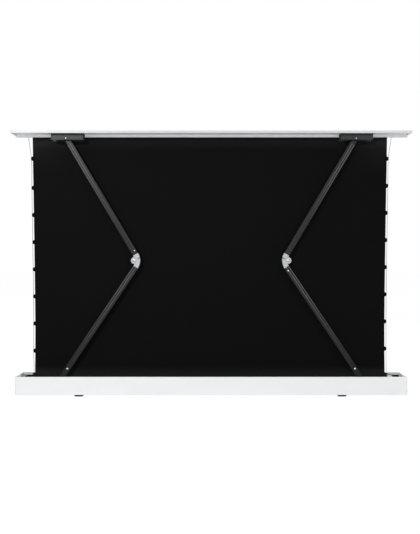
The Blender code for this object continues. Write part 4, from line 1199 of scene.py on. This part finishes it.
def dress_screws():
    """The bright screws on the lower arms, and a small one beside each elbow."""
    for side in SIDES:
        node = "spring_screw_" + side
        low, high, middle = span(node)
        item = socket_screw((high.x - low.x) / 2)
        settle(item, aim((middle.x, high.y - SPRING_SCREW_SUNK, middle.z), (0, -1, 0)))
        item.name = node + "_head"
        wear(item, "zinc", body_of(node), node)

        level, along, inward = KNUCKLE_SCREWS[side]
        arm = f"{level}_arm_{side}"
        elbow, outward, across = arm_frame(level, side)
        place = elbow + outward * along + across * (ARM_OFFSET[level] + inward)
        place.y = span(arm)[0].y
        item = socket_screw(KNUCKLE_SCREW)
        settle(item, aim(place, (0, -1, 0)))
        item.name = "knuckle_screw_" + side
        wear(item, "zinc", body_of(arm))


def line_case_with_painted_shade():
    """A dark felt strip along the inside of the far panel, standing in for the shade there: painted
    shade.
    """
    low, high, _ = span("front_panel")
    inner = high.y - PANEL_WALL
    # painted shade: a dark strip where the far panel's inside lies in shadow
    strip = block(
        "felt_strip_painted_shade",
        (low.x + SHADE_FELT_INSET, inner - SHADE_FELT_THICKNESS, SHADE_FELT_BOTTOM),
        (high.x - SHADE_FELT_INSET, inner + SUNK, SHADE_FELT_TOP),
    )
    wear(round_edges(strip, SHADE_FELT_EDGE), "dark_rubber", "case", finish=shade_felt())


def lay_floor():
    """A pale floor that takes shadows, and shows its own white to the camera."""
    finish = bpy.data.materials.new("studio_floor")
    nodes = Nodes(finish)
    seen = nodes.add("LightPath", output="Is Camera Ray")
    paper = nodes.add("BsdfDiffuse", Color=(0.86, 0.86, 0.86))
    bright = nodes.add("Emission", Color=(1.0, 1.0, 1.0), Strength=FLOOR_WHITE)
    mixed = nodes.add("MixShader", seen * FLOOR_WHITE_SHARE, paper, bright)
    nodes.add("OutputMaterial", Surface=mixed)
    only_none()
    bpy.ops.mesh.primitive_plane_add(size=FLOOR_SIZE, location=(0, 0, FLOOR_LEVEL))
    floor = named("studio_floor")
    floor.data.materials.append(finish)


def light_world():
    """White to the camera, and in glass and metal, but dimmer as a light."""
    world = bpy.data.worlds.new("studio")
    bpy.context.scene.world = world
    nodes = Nodes(world)
    camera, glass, metal = (
        nodes.add("LightPath", output=f"Is {kind} Ray")
        for kind in ("Camera", "Transmission", "Glossy")
    )
    dim = nodes.add("Background", Color=(1.0, 1.0, 1.0), Strength=WORLD_LIGHT)
    white = nodes.add("Background", Color=(1.0, 1.0, 1.0), Strength=1.0)
    shown = camera.work("MAXIMUM", camera.work("MAXIMUM", camera, glass), metal)
    nodes.add("OutputWorld", Surface=nodes.add("MixShader", shown, dim, white))


def hang_lamps():
    for name, (place, target, size, power) in LAMPS.items():
        light = bpy.data.lights.new(name, "AREA")
        light.shape = "SQUARE"
        light.size = size
        light.energy = power
        lamp = added(name, light)
        lamp.location = place
        towards = Vector(target) - Vector(place)
        lamp.rotation_euler = towards.to_track_quat("-Z", "Y").to_euler()


def stand_camera():
    """Level, behind the screen, with the photograph's horizon and middle."""
    camera = bpy.data.cameras.new("camera")
    camera.sensor_width = SENSOR
    camera.lens = FOCAL_PIXELS / IMAGE_HEIGHT * SENSOR
    camera.shift_x = -(CENTRE_COLUMN - IMAGE_WIDTH / 2) / IMAGE_HEIGHT
    camera.shift_y = (HORIZON_ROW - IMAGE_HEIGHT / 2) / IMAGE_HEIGHT
    camera.clip_end = 200
    viewer = added("camera", camera)
    viewer.location = (0, -CAMERA_BACK, CAMERA_HEIGHT)
    viewer.rotation_euler = (math.pi / 2, 0, 0)
    bpy.context.scene.camera = viewer
    bpy.context.scene.view_settings.view_transform = "Standard"


lay_floor()
light_world()
hang_lamps()
stand_camera()
dress_solids()
dress_arms()
bend_brackets()
dress_pins()
dress_screws()
dress_elbows()
line_case_with_painted_shade()
wind_cloth()
smooth_leads()
hang_edges(hang_sheet())
fasten()
